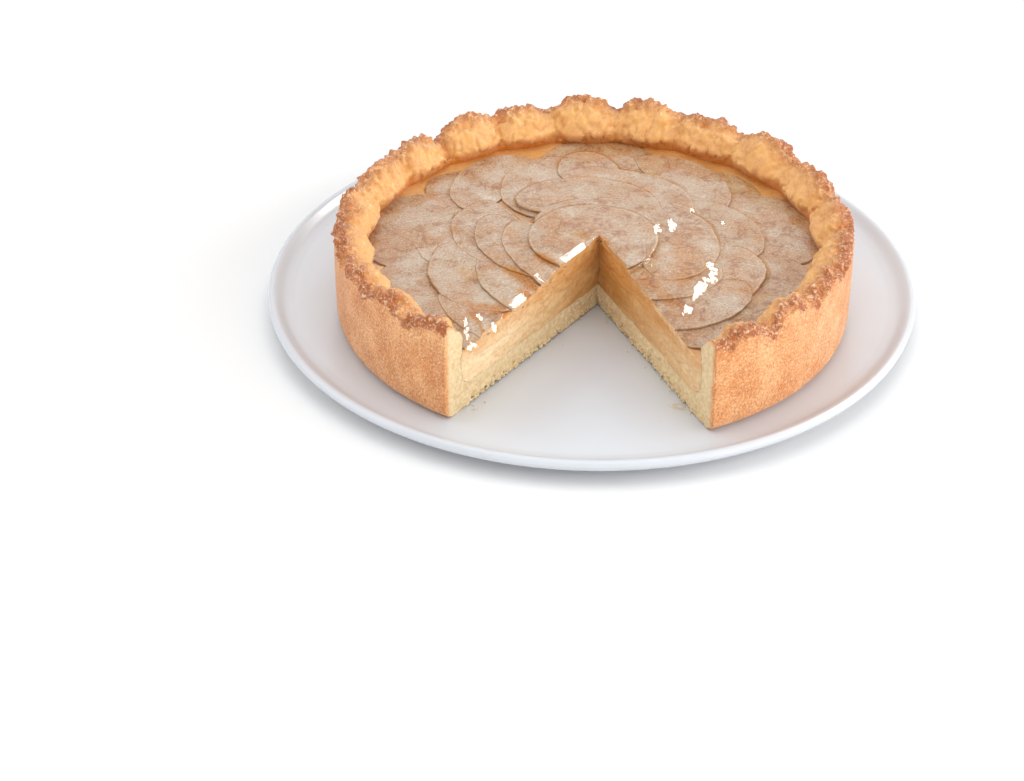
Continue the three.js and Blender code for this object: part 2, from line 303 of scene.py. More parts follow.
azimuths = np.linspace(CUT_RIGHT, CUT_LEFT, COLUMNS)
on_rim = along_cut(azimuths, np.full(COLUMNS, RIM_MIDDLE))
rim_azimuths = np.degrees(np.arctan2(on_rim[:, 1], on_rim[:, 0]))
share, rise = lump_at(rim_azimuths)
wander = bumps([[a / 2.2, 0, 0] for a in azimuths], 1.6, 3, 2)
edge_line = np.stack([*(CASE_RADIUS * way_at(azimuths)), 0 * azimuths], -1)
crest = CREST_LOW_Z + rise + 0.9 * wander
crest = crest + 1.1 * bumps(edge_line, 6, 51, 2) + 0.5 * bumps(edge_line, 2.4, 52)
thin = pared(azimuths)
bulge = 6 * share * (1 - 0.7 * thin)
lean = 1.2 * share
PILLOW_FOOT_Z = 42.6
belly = np.clip(crest - 7.4, PILLOW_FOOT_Z + 1.8, PILLOW_FOOT_Z + 5.8)
# The wall's section from its foot outside, over the rim, to the floor inside: radius, height, how
# far crags stand out, and how many rows of faces lead to the next line.
wall_rows = [
    [124.5, CASE_BASE_Z, 0, 4],
    [127, 10.9, 0, 5],
    [128.7, 14.3, 0, 10],
    [CASE_RADIUS, 25.3, 0, 14],
    [CASE_RADIUS, 41.3, 0.02, 11],
    [128.6, crest - 6.5, 0.25, 5],
    [128.1, crest - 3.2, 0.7, 5],
    [126.6 - lean + 0.6 * thin, crest - 0.8, 1, 4],
    [124.2 - lean + 1.3 * thin, crest - 0.3 * thin, 1, 4],
    [121.4 - lean + 2 * thin, crest - 0.9 - 1.6 * thin, 1, 5],
    [119 - lean - 0.3 * bulge + 2 * thin, crest - 3.2 - 1.8 * thin, 0.7, 5],
    [WALL_INSIDE - 0.6 * bulge + 1 + thin, crest - 6.4 - thin, 0.28, 6],
    [WALL_INSIDE - bulge, belly, 0.08, 4],
    [WALL_INSIDE - 0.9 * bulge, (belly + PILLOW_FOOT_Z) / 2, 0.05, 4],
    [WALL_INSIDE - 0.5 * bulge, PILLOW_FOOT_Z, 0.05, 2],
    [WALL_INSIDE - 0.5 * bulge, 40.6, 0, 1],
    [WALL_INSIDE, 39.9, 0, 1],
    [WALL_INSIDE - 0.2, 29.3, 0, 1],
    [WALL_INSIDE - 1.6, 24.3, 0, 1],
    [WALL_INSIDE - 5.5, CASE_FLOOR_Z, 0, 0],
]
corners = np.array([np.stack(np.broadcast_arrays(*row[:3], crest)[:3], -1) for row in wall_rows])
wall = smooth_line(corners, [row[3] for row in wall_rows[:-1]])
ROWS = len(wall)
wall_xy = along_cut(azimuths[None, :].repeat(ROWS, 0), wall[..., 0])
wall_grid = np.concatenate([wall_xy, wall[..., 1:2]], -1)
along_rows = np.gradient(wall_grid, axis=0)
along_columns = np.gradient(wall_grid, axis=1)
outward = np.cross(along_columns, along_rows)
outward /= np.linalg.norm(outward, axis=-1, keepdims=True)
flat_points = wall_grid.reshape(-1, 3)
row_of = np.arange(ROWS)[:, None].repeat(COLUMNS, 1).ravel()
CREST_ROW = 53  # the row along the top of the rim
# Outside, the smooth wall breaks into crags along an uneven line a little under the crest.
break_line = crest - 5 + 2.6 * bumps(edge_line, 7, 31, 3)
outside_crags = ease((flat_points[:, 2] - np.tile(break_line, ROWS)) / 1.0)
craggy = np.where(row_of < CREST_ROW, outside_crags, np.clip(wall[..., 2].ravel(), 0, 1))
relief = 0.22 * bumps(flat_points, 11, 1, 2) + 0.12 * bumps(flat_points, 2.2, 2)
on_crags = np.nonzero(craggy > 0.01)[0]
at_crags = flat_points[on_crags]
warped = at_crags + 1.6 * np.stack([bumps(at_crags, 5, seed, 2) for seed in (32, 33, 34)], -1)
coarse = rubble(warped, 6.2, 4)
fine = rubble(warped, 2.5, 5)
cragginess = craggy[on_crags]
relief[on_crags] += cragginess * (1.5 * (coarse - 0.42) + 1.2 * (fine - 0.45))
ridged = 1 - 2.6 * np.abs(bumps(warped, 9, 6, 3))
relief[on_crags] += cragginess * (1.3 * ridged - 0.4 + 1.1 * bumps(at_crags, 4, 53, 4))
# Inside, the soft dough creased where it was pinched.
pinched = np.nonzero((row_of > CREST_ROW + 4) & (flat_points[:, 2] > PILLOW_FOOT_Z - 1))[0]
folded = flat_points[pinched] * np.array([1, 1, 0.45])
crease = np.exp(-((bumps(folded, 9, 35, 2) / 0.075) ** 2))
relief[pinched] -= 1.2 * crease * (1 - 0.5 * craggy[pinched])
relief[pinched] += 1.1 * bumps(flat_points[pinched], 8, 36, 3)
relief[pinched] += 0.15 * (1 - 3 * np.abs(bumps(flat_points[pinched], 3.6, 54, 2)))
relief[wall_grid[..., 2].ravel() < PILLOW_FOOT_Z] *= 0.6
relief *= 1 - 0.6 * np.tile(thin, ROWS) ** 8
wall_points = flat_points + outward.reshape(-1, 3) * relief[:, None]


def grid_faces(rows, columns, first=0):
    """Faces between the neighbouring rows and columns of a grid of points."""
    faces = []
    for row in range(rows - 1):
        for column in range(columns - 1):
            here = first + row * columns + column
            faces.append([here, here + 1, here + columns + 1, here + columns])
    return faces


def floor_height(t, azimuth):
    """Where the base meets the filling on a cut, a distance out: an uneven line."""
    near_ends = ease(t / 8) * ease((CUT_REACH - 4 - t) / 8)
    return CASE_FLOOR_Z + near_ends * (0.9 * bumps([[t, azimuth, 0]], 13, 42, 3)[0] - 0.3)


def cut_face(grid, column, azimuth, first, spacing, seed, drop=0.0, base_z=None):
    """A piece's face on a cut. Its outline is the end column of the piece's grid, then the floor of
    the case, or that much lower, to the cuts' point, and a base back out. New points count from first.
    Returns its points as along and up, its faces, the way out of it, and its floor's and base's points."""
    rows, columns = grid.shape[:2]
    way = way_at(azimuth)
    along = (grid[:, column, :2] - CUT_POINT) @ way
    inwards = np.linspace(along[-1], 0, int(along[-1] / spacing) + 1)[1:]
    outline = list(zip(along, grid[:, column, 2]))
    outline += [(t, floor_height(t, azimuth) - drop) for t in inwards]
    if base_z:
        outline += [(t, base_z) for t in np.linspace(0, along[0], int(along[0] / spacing) + 1)[:-1]]
    inner, triangles = fill_outline(outline, spacing, seed)
    flat = np.concatenate([outline, inner])
    ids = np.arange(len(flat)) + first - rows
    ids[:rows] = np.arange(rows) * columns + column
    faces = [[ids[i] for i in (t[::-1] if column else t)] for t in triangles]
    floor_end = rows + len(inwards)
    base_line = [ids[0], *ids[floor_end : len(outline)][::-1]]
    facing = np.array([way[1], -way[0]]) * (-1 if column else 1)
    return flat, faces, facing, list(ids[rows - 1 : floor_end]), base_line


def level_faces(points, first, count, lines, downwards):
    """Triangles over a level face, between a row of a grid and its lines along the two cuts."""
    loop = [*range(first, first + count), *lines[1][1:], *lines[0][1:-1][::-1]]
    triangles = fill_outline(points[loop][:, :2], 1, 0, strewn=False)[1]
    return [[loop[i] for i in (t[::-1] if downwards else t)] for t in triangles]


CRUMB_SPACING = 0.7
crust_points = [wall_points]
crust_faces = grid_faces(ROWS, COLUMNS)
wall_sides = wall_points.reshape(ROWS, COLUMNS, 3)
points_so_far = len(wall_points)
floor_lines = []
base_lines = []
crumb_crack_shades = [np.zeros(len(wall_points))]
for column, azimuth in ((0, CUT_RIGHT), (COLUMNS - 1, CUT_LEFT)):
    way = way_at(azimuth)
    side = wall_sides[:, column]
    side[:, :2] = CUT_POINT + ((side[:, :2] - CUT_POINT) @ way)[:, None] * way
    flat, faces, facing, floor_line, base_line = cut_face(
        wall_sides, column, azimuth, points_so_far, CRUMB_SPACING, 20 + column, base_z=CASE_BASE_Z
    )
    # The knife tears the crumb: its face is rough, and the base has a broken lower edge.
    reach = np.array([[t, z, azimuth] for t, z in flat])
    torn = 1.0 * (rubble(reach, 3.4, 7) - 0.5) + 0.9 * (rubble(reach, 1.9, 8) - 0.5)
    torn += 0.6 * bumps(reach, 6, 9, 2)
    from_edge = np.clip((CASE_FLOOR_Z - 0.8 - flat[:, 1]) / 2, 0, 1)
    torn *= np.where(flat[:, 0] > CUT_REACH - 4, 1, np.maximum(from_edge, 0.4))
    along = [[t, 0, azimuth] for t, _ in flat]
    ragged = np.clip(1.2 + 2.4 * bumps(along, 8, 10, 2) + 0.9 * bumps(along, 1.9, 43, 2), 0.1, 3.2)
    ragged *= np.clip((CUT_REACH - flat[:, 0]) / 6, 0, 1) * np.clip(flat[:, 0] / 4, 0, 1)
    lift = ragged * np.clip(1 - (flat[:, 1] - CASE_BASE_Z) / 4, 0, 1)
    torn[:ROWS] = 0
    torn[np.abs(flat[:, 0]) < 1e-6] = 0
    torn *= np.where(flat[:, 0] > CUT_REACH + 2, 0.42, 0.7)
    moved = CUT_POINT + flat[:, :1] * way + torn[:, None] * facing
    face_points = np.concatenate([moved, (flat[:, 1] + lift)[:, None]], -1)
    # Painted shade: the crumb is painted darker in the cracks between its torn crumbs.
    crumb_crack_shades.append(1 - rubble(reach[ROWS:], 1.9, 8) + 0.5 * bumps(reach[ROWS:], 3, 45, 2))
    crust_points.append(face_points[ROWS:])
    crust_faces += faces
    floor_lines.append(floor_line)
    base_lines.append(base_line)
    points_so_far += len(flat) - ROWS
crust_points = np.concatenate(crust_points)
crust_faces += level_faces(crust_points, (ROWS - 1) * COLUMNS, COLUMNS, floor_lines, False)
crust_faces += level_faces(crust_points, 0, COLUMNS, base_lines, True)
crust = solid_object("shortcrust_case", crust_points, crust_faces)


def weld(made, gap=0.01):
    """Joins a mesh's points that lie together, and turns its faces outwards."""
    shell = bmesh.new()
    shell.from_mesh(made.data)
    bmesh.ops.remove_doubles(shell, verts=shell.verts, dist=gap * MM)
    bmesh.ops.recalc_face_normals(shell, faces=shell.faces)
    shell.to_mesh(made.data)
    shell.free()


def stand_on_plate(made):
    """Moves a tart's mesh from the tart's own middle to its place on the plate."""
    made.data.transform(Matrix.Translation((TART[0] * MM, TART[1] * MM, 0)))


# What the bake did to each point: how brown it is, how soaked with jelly, how deep under the skin.
inside_share = ease((row_of - CREST_ROW - 2) / 14)
browned = 0.08 + craggy * (0.52 + 0.22 * relief) + 0.45 * (0.3 + craggy) * bumps(flat_points, 9, 37, 3)
browned -= 0.1 * inside_share
soaked = inside_share * (0.8 + 0.35 * bumps(flat_points, 8, 12, 2))
to_foot = ease((PILLOW_FOOT_Z + 6 - flat_points[:, 2]) / 6)
inner_points = crust_points[len(wall_points) :]
radius = np.hypot(inner_points[:, 0], inner_points[:, 1])
azimuth_of = np.degrees(np.arctan2(inner_points[:, 1], inner_points[:, 0]))
under_crest = CREST_LOW_Z + lump_at(azimuth_of)[1] - inner_points[:, 2] - 0.5
depth = np.clip(np.minimum(CASE_RADIUS - radius, under_crest), 0, 20)
for name, values in (("browned", browned), ("soaked", soaked), ("toward_foot", to_foot)):
    paint(crust, name, np.pad(values, (0, len(inner_points))))
paint(crust, "depth", np.pad(depth, (len(wall_points), 0)))
paint(crust, "crumb_crack_shade", np.concatenate(crumb_crack_shades))
weld(crust)
stand_on_plate(crust)

# Baked sweet shortcrust: a dry, sandy, golden skin with pinholes where butter melted out, painted
# dark inside as painted shade, darker on every crag, shiny with syrup inside, and a pale short crumb
# where the knife went through, painted darker in the cracks between its crumbs as painted shade.
shortcrust, tree = new_material("baked_shortcrust")
place = add(tree, "TexCoord", out="Object")
browned_here, soaked_here, depth_here, crack_shade_here, foot_here = (
    add(tree, "Attribute", out="Fac", attribute_name=name)
    for name in ("browned", "soaked", "depth", "crumb_crack_shade", "toward_foot")
)
# Each noise is as wide as what it draws, in millimetres.
grain, patch, sand, clump, fine_crumb, syrup = (
    add(tree, "TexNoise", {"Vector": place, "Scale": 1 / (wide * MM), **more})
    for wide, more in (
        (1.3, {"Detail": 3.0}),
        (17, {"Detail": 4.0, "Roughness": 0.6}),
        (1.0, {"Detail": 2.0, "Roughness": 0.7}),
        (2.4, {"Detail": 2.0}),
        (1.4, {"Detail": 4.0, "Roughness": 0.7}),
        (9, {"Detail": 3.0, "Distortion": 0.6}),
    )
)
holes = add(tree, "TexVoronoi", {"Vector": place, "Scale": 1 / (1.5 * MM), "Randomness": 1.0})
patched = add(tree, "MapRange", {"Value": patch, "From Min": 0.33, "From Max": 0.67})
baking = add(tree, "Math", {0: grain, 1: 0.9, 2: browned_here}, operation="MULTIPLY_ADD")
clumped = add(tree, "MapRange", {"Value": clump, "From Min": 0.54, "From Max": 0.7, "To Max": 0.8})
on_crest = add(tree, "MapRange", {"Value": browned_here, "From Min": 0.2, "From Max": 0.5})
clumped = add(tree, "Math", {0: clumped, 1: on_crest}, operation="MULTIPLY")
# Painted shade: each pinhole is painted dark inside, where shade would fall in the hole.
shaded_pinhole = add(tree, "MapRange", {"Value": holes, "From Min": 0.24, "From Max": 0.06})
wanted = add(tree, "MapRange", {"Value": patch, "From Min": 0.4, "From Max": 0.6})
shaded_pinhole = add(tree, "Math", {0: shaded_pinhole, 1: wanted}, operation="MULTIPLY")
syrup = add(tree, "Math", {0: syrup, 1: foot_here}, operation="ADD")
syrup = add(tree, "MapRange", {"Value": syrup, "From Min": 0.5, "From Max": 1.3})
crumbly = add(tree, "MapRange", {"Value": fine_crumb, "From Min": 0.32, "From Max": 0.68})
# Painted shade: darker crumb colour in the cracks between crumbs.
crack_shade = add(tree, "MapRange", {"Value": crack_shade_here, "From Min": 0.3, "To Max": 0.4})
under_skin = add(tree, "MapRange", {"Value": depth_here, "From Min": 1.6, "From Max": 4.0})
wet = add(tree, "Mix", {SHARE: syrup, FIRST: "#EBB26A", SECOND: "#C97E32"}, MIXED, data_type="RGBA")
crumb = add(tree, "Mix", {SHARE: crumbly, FIRST: "#FFEBC0", SECOND: "#F2CC8E"}, MIXED, data_type="RGBA")
crumb = add(tree, "Mix", {SHARE: crack_shade, FIRST: crumb, SECOND: "#D6AC76"}, MIXED, data_type="RGBA")
colour = add(tree, "Mix", {SHARE: patched, FIRST: "#F2B67C", SECOND: "#DE8E4A"}, MIXED, data_type="RGBA")
# Laid over the gold in turn: what each follows, between which two values of it and how far it comes
# in, and its colour.
for seen, low, high, much, over in (
    (baking, 0.38, 1.2, 1, "#AC5F30"),
    (clumped, 0, 1, 1, "#F4CDA4"),
    (sand, 0.52, 0.7, 0.75, "#A9622F"),
    (sand, 0.46, 0.3, 0.6, "#FADFBC"),
    # Painted shade inside each pinhole.
    (shaded_pinhole, 0, 1, 0.55, "#8A4F27"),
    (soaked_here, 0, 1, 1, wet),
    (under_skin, 0, 1, 1, crumb),
):
    share = add(tree, "MapRange", {"Value": seen, "From Min": low, "From Max": high, "To Max": much})
    colour = add(tree, "Mix", {SHARE: share, FIRST: colour, SECOND: over}, MIXED, data_type="RGBA")
dryness = add(tree, "MapRange", {"Value": soaked_here, "From Min": 0.2, "To Min": 0.8, "To Max": 0.2})
height = add(tree, "Math", {0: shaded_pinhole, 1: -0.8, 2: sand}, operation="MULTIPLY_ADD")
torn_height = add(tree, "Math", {0: fine_crumb, 1: under_skin}, operation="MULTIPLY")
height = add(tree, "Math", {0: torn_height, 1: 2.5, 2: height}, operation="MULTIPLY_ADD")
smoothed = add(tree, "MapRange", {"Value": soaked_here, "To Min": 1.0, "To Max": 0.3})
height = add(tree, "Math", {0: height, 1: smoothed}, operation="MULTIPLY")
bump = add(tree, "Bump", {"Height": height, "Strength": 0.9, "Distance": 0.6 * MM})
finish = {"Roughness": dryness, "IOR": 1.45, "Sheen Weight": 0.2}
baked = add(tree, "BsdfPrincipled", {"Base Color": colour, "Normal": bump, **finish})
add(tree, "OutputMaterial", {"Surface": baked})
crust.data.materials.append(shortcrust)
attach(crust, "root")
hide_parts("crust")

# ---------- the apple filling ----------
# Grated and sliced apple, cooked soft and set in the case. Its domed top is pressed into beds by
# the slices laid on it, and both cuts show its layers lying flat.

FILL_EDGE_Z = 41.6
FILL_MIDDLE_Z = 46
SLICE_TOP_Z = 42.2
TIER_RISE = 1.2
SLICE_THICKNESS = 2.2
SLICE_EDGE = 1.0
# Each slice: its azimuth, the radius of its outer edge's middle, its length, its width, its turn
# from the tangent, and its tier. The lowest comes first.
SLICES = {
    "outer_back": [86, 119, 62, 46, 0, 0],
    "outer_right_back": [41, 108, 58, 40, -4, 0],
    "outer_right": [11, 122, 76, 56, 0, 0.4],
    "outer_right_front": [-23, 118, 56, 46, 0, 0],
    "outer_front_right": [-48, 118, 62, 46, 0, 0.4],
    "outer_left_back": [137, 110, 44, 34, 0, 0],
    "outer_left": [168, 122, 80, 58, 0, 0.4],
    "outer_left_front": [208, 114, 78, 46, -2, 0],
    "outer_cut_low": [231, 112, 62, 28, -8, 0.5],
    "outer_cut_high": [228, 99, 56, 22, -14, 1.3],
    "middle_left_small": [174, 88, 54, 30, -16, 1],
    "middle_back_left": [126, 104, 68, 34, 28, 1],
    "middle_back_right": [74, 99, 54, 32, 0, 1],
    "middle_right_back": [54, 102, 70, 34, -22, 1.6],
    "middle_right": [12, 86, 66, 36, 14, 1.8],
    "middle_back": [109, 88, 70, 37, 66, 1.9],
    "middle_right_front": [330, 90, 66, 36, -2, 2.3],
    "middle_cut_right": [311, 94, 62, 32, -8, 2],
    "middle_left_front": [209, 88, 73, 38, -4, 2],
    "middle_back_small": [90, 98, 32, 34, 10, 2.6],
    "middle_left_back": [167, 72, 68, 37, 30, 2.6],
    "inner_back_outer": [70, 77, 78, 34, -12, 3.2],
    "inner_left_front": [228, 72, 72, 34, -23, 3],
    "inner_cut_right": [-41, 71, 56, 34, -16, 3.3],
    "inner_left": [190, 55, 77, 35, 26, 4],
    "inner_right": [358, 63, 76, 44, 5, 4.1],
    "inner_back": [93, 65, 76, 46, -17, 4.2],
    "core_left": [223, 47, 78, 30, -14, 5],
    "core_back": [66, 43, 70, 44, 15, 5.1],
}
OUTER_SHARE = 0.7  # share of a slice's width on the peel side of its long axis
DISC_RADIUS = 32.5

draw = random.Random(7)
PIECES = []
for name, (azimuth, edge, length, width, turn, tier) in SLICES.items():
    peel = width * OUTER_SHARE
    piece = {"name": "slice_" + name, "middle": (edge - peel) * way_at(azimuth), "lean": 0.03}
    piece |= {"along": way_at(azimuth - 90 + turn), "half_length": length / 2}
    piece |= {"peel": peel, "core": width - peel, "top": SLICE_TOP_Z + TIER_RISE * tier}
    piece |= {"phase": draw.uniform(0, 6.28), "tint": draw.uniform(0, 1)}
    PIECES.append(piece)
disc = {"name": "slice_centre_disc", "middle": (0, -2), "along": (1, 0), "phase": 0.4, "tint": 0.35}
disc |= {"half_length": DISC_RADIUS, "peel": DISC_RADIUS, "core": DISC_RADIUS, "lean": 0}
PIECES.append(disc | {"top": SLICE_TOP_Z + TIER_RISE * 6})


def in_slice(piece, x, y):
    """A point's direction and distance from a slice's middle, and the slice's reach that way."""
    x = x - piece["middle"][0]
    y = y - piece["middle"][1]
    cos, sin = piece["along"]
    ahead = x * cos + y * sin
    aside = y * cos - x * sin
    angle = np.arctan2(aside, ahead)
    return angle, np.hypot(ahead, aside), reach_of(piece, angle)


def reach_of(piece, angle):
    """How far a slice's edge is from its middle: a full curve at the peel, a flatter one at the core."""
    half_width = np.where(np.sin(angle) > 0, piece["peel"], piece["core"])
    reach = 1 / np.hypot(np.cos(angle) / piece["half_length"], np.sin(angle) / half_width)
    phase = piece["phase"]
    uneven = 0.014 * np.sin(2 * angle + phase) + 0.01 * np.sin(3 * angle + 2 * phase)
    uneven += 0.009 * np.sin(7 * angle + 3 * phase) + 0.005 * np.sin(17 * angle + 5 * phase)
    uneven += 0.003 * np.sin(31 * angle + 7 * phase)
    if piece["name"] == "slice_centre_disc":
        return reach + 4.5 * np.exp(-((np.degrees(angle + math.radians(61)) / 22) ** 2))
    return reach * (1 + uneven)


# Where the knife dragged the soft top down along a cut: how steeply, and at each place how far from
# the cuts' point, over what half length, and how far in.
DRAGS = {
    CUT_LEFT: (0.44, [(19.5, 13.5, 4), (47, 3.4, 6), (64.5, 11, 4.6), (92, 4, 4), (104, 4, 4.6)]),
    CUT_RIGHT: (0.24, [(12, 8, 3), (44, 12, 4), (76, 8, 3.4), (98, 9, 4)]),
}


def slump(x, y):
    """How far the soft top sinks towards the cut faces."""
    off = np.maximum(to_cut(x, y), -4)
    sinking = 0.25 * np.clip(1 - off / 1.4, 0, None) ** 2
    uneven = 0.5 * np.sin(x / 3.1 + y / 4.2) + 0.5 * np.sin(x / 4.6 - y / 2.9 + 2)
    for azimuth, (slope, drags) in DRAGS.items():
        along, aside = from_cut(x, y, way_at(azimuth))
        for middle, half_length, wide in drags:
            near = np.clip(wide + 0.5 + 0.6 * uneven - off, 0, None)
            ramp = slope * np.where(near < 1, near**2 / 2, near - 0.5)
            there = ease((half_length - np.abs(along - middle + 1.3 * uneven)) / 3 + 0.5)
            sinking = np.maximum(sinking, there * (np.abs(aside) < 9) * ramp)
    return sinking


def lay(x, y, wanted=None):
    """Where the slices lie over a point: the highest face there and the lowest, or a wanted one's."""
    ceiling = np.full(np.shape(x), 1e3)
    surface = np.full(np.shape(x), -1e3)
    bed = np.full(np.shape(x), 1e3)
    sinking = slump(x, y)
    held = None
    below = np.full(np.shape(x), -1e3)
    for piece in reversed(PIECES):
        angle, away, reach = in_slice(piece, x, y)
        inside = reach - away
        phase = piece["phase"]
        wave = np.sin(x / 6.1 + phase) * np.cos(y / 7.3 - 2 * phase) + np.sin((x + y) / 11 + 3 * phase)
        share = np.clip(away / reach, 0, 1.1)
        lean = piece["lean"] * (np.hypot(x, y) - math.hypot(*piece["middle"]))
        top = piece["top"] + 0.16 * wave - 0.14 * share**8 - lean - sinking
        top = np.minimum(top, ceiling)
        bottom = top - SLICE_EDGE - (SLICE_THICKNESS - SLICE_EDGE) * ease(inside / 5)
        covered = inside > 0
        if held:
            below = np.where(covered, np.maximum(below, top), below)
        if piece["name"] == wanted:
            held = (top, bottom)
        surface = np.where(covered, np.maximum(surface, top), surface)
        bed = np.where(inside > -0.8, np.minimum(bed, bottom), bed)
        rising = 1.2 * np.clip(1.2 - inside, 0, None)
        ceiling = np.where(covered, np.minimum(ceiling, bottom - 0.05 + rising), ceiling)
    if held:
        # A slice sags onto whichever lies under it, by up to its own thickness.
        sagged = np.minimum(held[1], np.maximum(below + 0.05, held[1] - SLICE_THICKNESS))
        return held[0], np.where(below > -900, sagged, held[1])
    return surface, bed


def filling_top(x, y):
    """The filling's own top: a low dome, pressed down under the slices."""
    radius = np.hypot(x, y) / WALL_INSIDE
    heights = [FILL_MIDDLE_Z, FILL_MIDDLE_Z - 1, FILL_EDGE_Z + 1.6, FILL_EDGE_Z]
    dome = np.interp(radius, [0, 0.3, 0.6, 1], heights)
    bed = lay(x, y)[1]
    sunk = dome - slump(x, y)
    gap = 0.35 - 0.25 * ease(2 - np.abs(to_cut(x, y)))
    return np.where(bed < 900, np.minimum(sunk + 2.4, bed - gap), sunk - 0.9)


FILL_COLUMNS, FILL_ROWS = 420, 110
fill_azimuths = np.linspace(CUT_RIGHT, CUT_LEFT, FILL_COLUMNS)
outer_point = along_cut(fill_azimuths, np.full(FILL_COLUMNS, WALL_INSIDE))
shares = np.linspace(0, 1, FILL_ROWS)
fill_xy = CUT_POINT + shares[:, None, None] * (outer_point - CUT_POINT)
fill_z = filling_top(fill_xy[..., 0], fill_xy[..., 1])
fill_top_points = np.concatenate([fill_xy, fill_z[..., None]], -1).reshape(-1, 3)
fill_points = [fill_top_points]
# The side goes down along the inside of the case: how far in, and how high.
side_profile = [(-0.1, 38), (0, 29.4), (1.4, 24.4), (5.3, CASE_FLOOR_Z - 0.05)]
for inset, height in side_profile:
    line = along_cut(fill_azimuths, np.full(FILL_COLUMNS, WALL_INSIDE - inset))
    fill_points.append(np.concatenate([line, np.full((FILL_COLUMNS, 1), height)], -1))
side_rows = FILL_ROWS + len(side_profile)
fill_faces = grid_faces(side_rows, FILL_COLUMNS)
total = side_rows * FILL_COLUMNS
fill_points = np.concatenate(fill_points)
fill_parts = [fill_points]
fill_sides = fill_points.reshape(side_rows, FILL_COLUMNS, 3)
FILL_SPACING = 0.65
floor_lines = []
tone_and_shade_of_layer = [np.full(total, 0.5)]
seams = [np.zeros(total)]


def stacked(flat, azimuth):
    """Cooked apple lying flat in layers, seen on a cut: each piece's own share, and the seams."""
    warp = 1.1 * bumps([[t / 14, z / 5, azimuth] for t, z in flat], 1, 41, 2)
    shares = []
    lines = []
    for (t, z), shift in zip(flat, warp):
        nearest, middles = noise.voronoi(Vector((t / 15, (z + shift) / 2.7, azimuth)))
        shares.append((abs(middles[0].x * 7.31 + middles[0].y * 3.77)) % 1)
        lines.append(nearest[1] - nearest[0])
    return np.array(shares), np.exp(-((np.array(lines) / 0.09) ** 2))


for column, azimuth in ((0, CUT_RIGHT), (FILL_COLUMNS - 1, CUT_LEFT)):
    flat, faces, facing, floor_line, _ = cut_face(
        fill_sides, column, azimuth, total, FILL_SPACING, 40 + column, drop=0.1
    )
    heights, edges = stacked(flat, azimuth)
    grain = bumps([[t, z, azimuth] for t, z in flat], 1.6, 14, 2)
    torn = 0.7 * (heights - 0.5) - 0.35 * edges + 0.16 * grain
    # Painted shade: the right cut face, column 0, gets a darker tone of its layers.
    tone_and_shade_of_layer.append(heights[side_rows:] * 0.85 + (0.45 if column == 0 else 0))
    seams.append(edges[side_rows:])
    torn *= ease((flat[:, 1] - CASE_FLOOR_Z) / 2.5)
    torn[: side_rows + len(floor_line) - 1] = 0
    moved = CUT_POINT + flat[:, :1] * way_at(azimuth) + torn[:, None] * facing
    fill_parts.append(np.concatenate([moved, flat[:, 1:]], -1)[side_rows:])
    fill_faces += faces
    floor_lines.append(floor_line)
    total += len(flat) - side_rows
fill_points = np.concatenate(fill_parts)
fill_faces += level_faces(fill_points, (side_rows - 1) * FILL_COLUMNS, FILL_COLUMNS, floor_lines, True)
filling = solid_object("apple_filling", fill_points, fill_faces)
paint(filling, "layer_tone_and_shade", np.concatenate(tone_and_shade_of_layer))
paint(filling, "seam", np.concatenate(seams))
lit_toward_wall = np.hypot(*(fill_points[:, :2] - CUT_POINT).T) / CUT_REACH
# Painted shade: the right half is painted darker by lowering its share towards the wall.
lit_toward_wall *= np.where(fill_points[:, 0] > CUT_POINT[0], 0.68, 1)
paint(filling, "toward_wall_and_lit", lit_toward_wall)
off_cut = to_cut(fill_points[:, 0], fill_points[:, 1])
on_top = np.arange(len(fill_points)) < FILL_ROWS * FILL_COLUMNS
# Painted shade: the filling's top beside a cut, under the slices' sunk edges, is painted darker.
paint(filling, "bed", on_top * ease(off_cut / 0.8))
paint(filling, "toward_top", ease(1.5 - off_cut / 4) * ease((fill_points[:, 2] - 31) / 9))
weld(filling)
stand_on_plate(filling)

# Cooked apple: soft, moist and half clear, in cream and tan layers that lie as they were heaped. Its
# colour is paler towards the wall and darker towards the cuts' point, partly its own and partly painted
# shade in the narrow gap, and the right cut face is painted darker still, as painted shade.
cooked_apple, tree = new_material("cooked_apple")
place = add(tree, "TexCoord", out="Object")
layer_tone_and_shade, seam, toward_wall_and_lit, toward_top, shaded_bed_here = (
    add(tree, "Attribute", out="Fac", attribute_name=name)
    for name in ("layer_tone_and_shade", "seam", "toward_wall_and_lit", "toward_top", "bed")
)
pulp = add(tree, "TexNoise", {"Vector": place, "Scale": 1 / (6 * MM), "Detail": 5.0, "Distortion": 0.8})
grains = add(tree, "TexNoise", {"Vector": place, "Scale": 1 / (1.6 * MM), "Detail": 3.0})
layered = add(tree, "Math", {0: layer_tone_and_shade, 1: 0.45, 2: pulp}, operation="MULTIPLY_ADD")
layered = add(tree, "MapRange", {"Value": layered, "From Min": 0.45, "From Max": 1.0})
# Paler towards the wall, darker towards the cuts' point: partly own colour, partly painted shade.
near_wall_and_lit = add(tree, "MapRange", {"Value": toward_wall_and_lit, "From Min": 0.15, "From Max": 0.75})
browning = add(tree, "Math", {0: toward_top, 1: pulp}, operation="MULTIPLY")
colour, outer, shaded_bed_colour = (
    add(tree, "Mix", {SHARE: share, FIRST: first, SECOND: second}, MIXED, data_type="RGBA")
    for share, first, second in (
        (layered, "#E0B478", "#C28A4C"),
        (layered, "#F6DEB6", "#EBC796"),
        # The bed's painted shade, darkest towards the cuts' point.
        (near_wall_and_lit, "#A37544", "#DFB586"),
    )
)
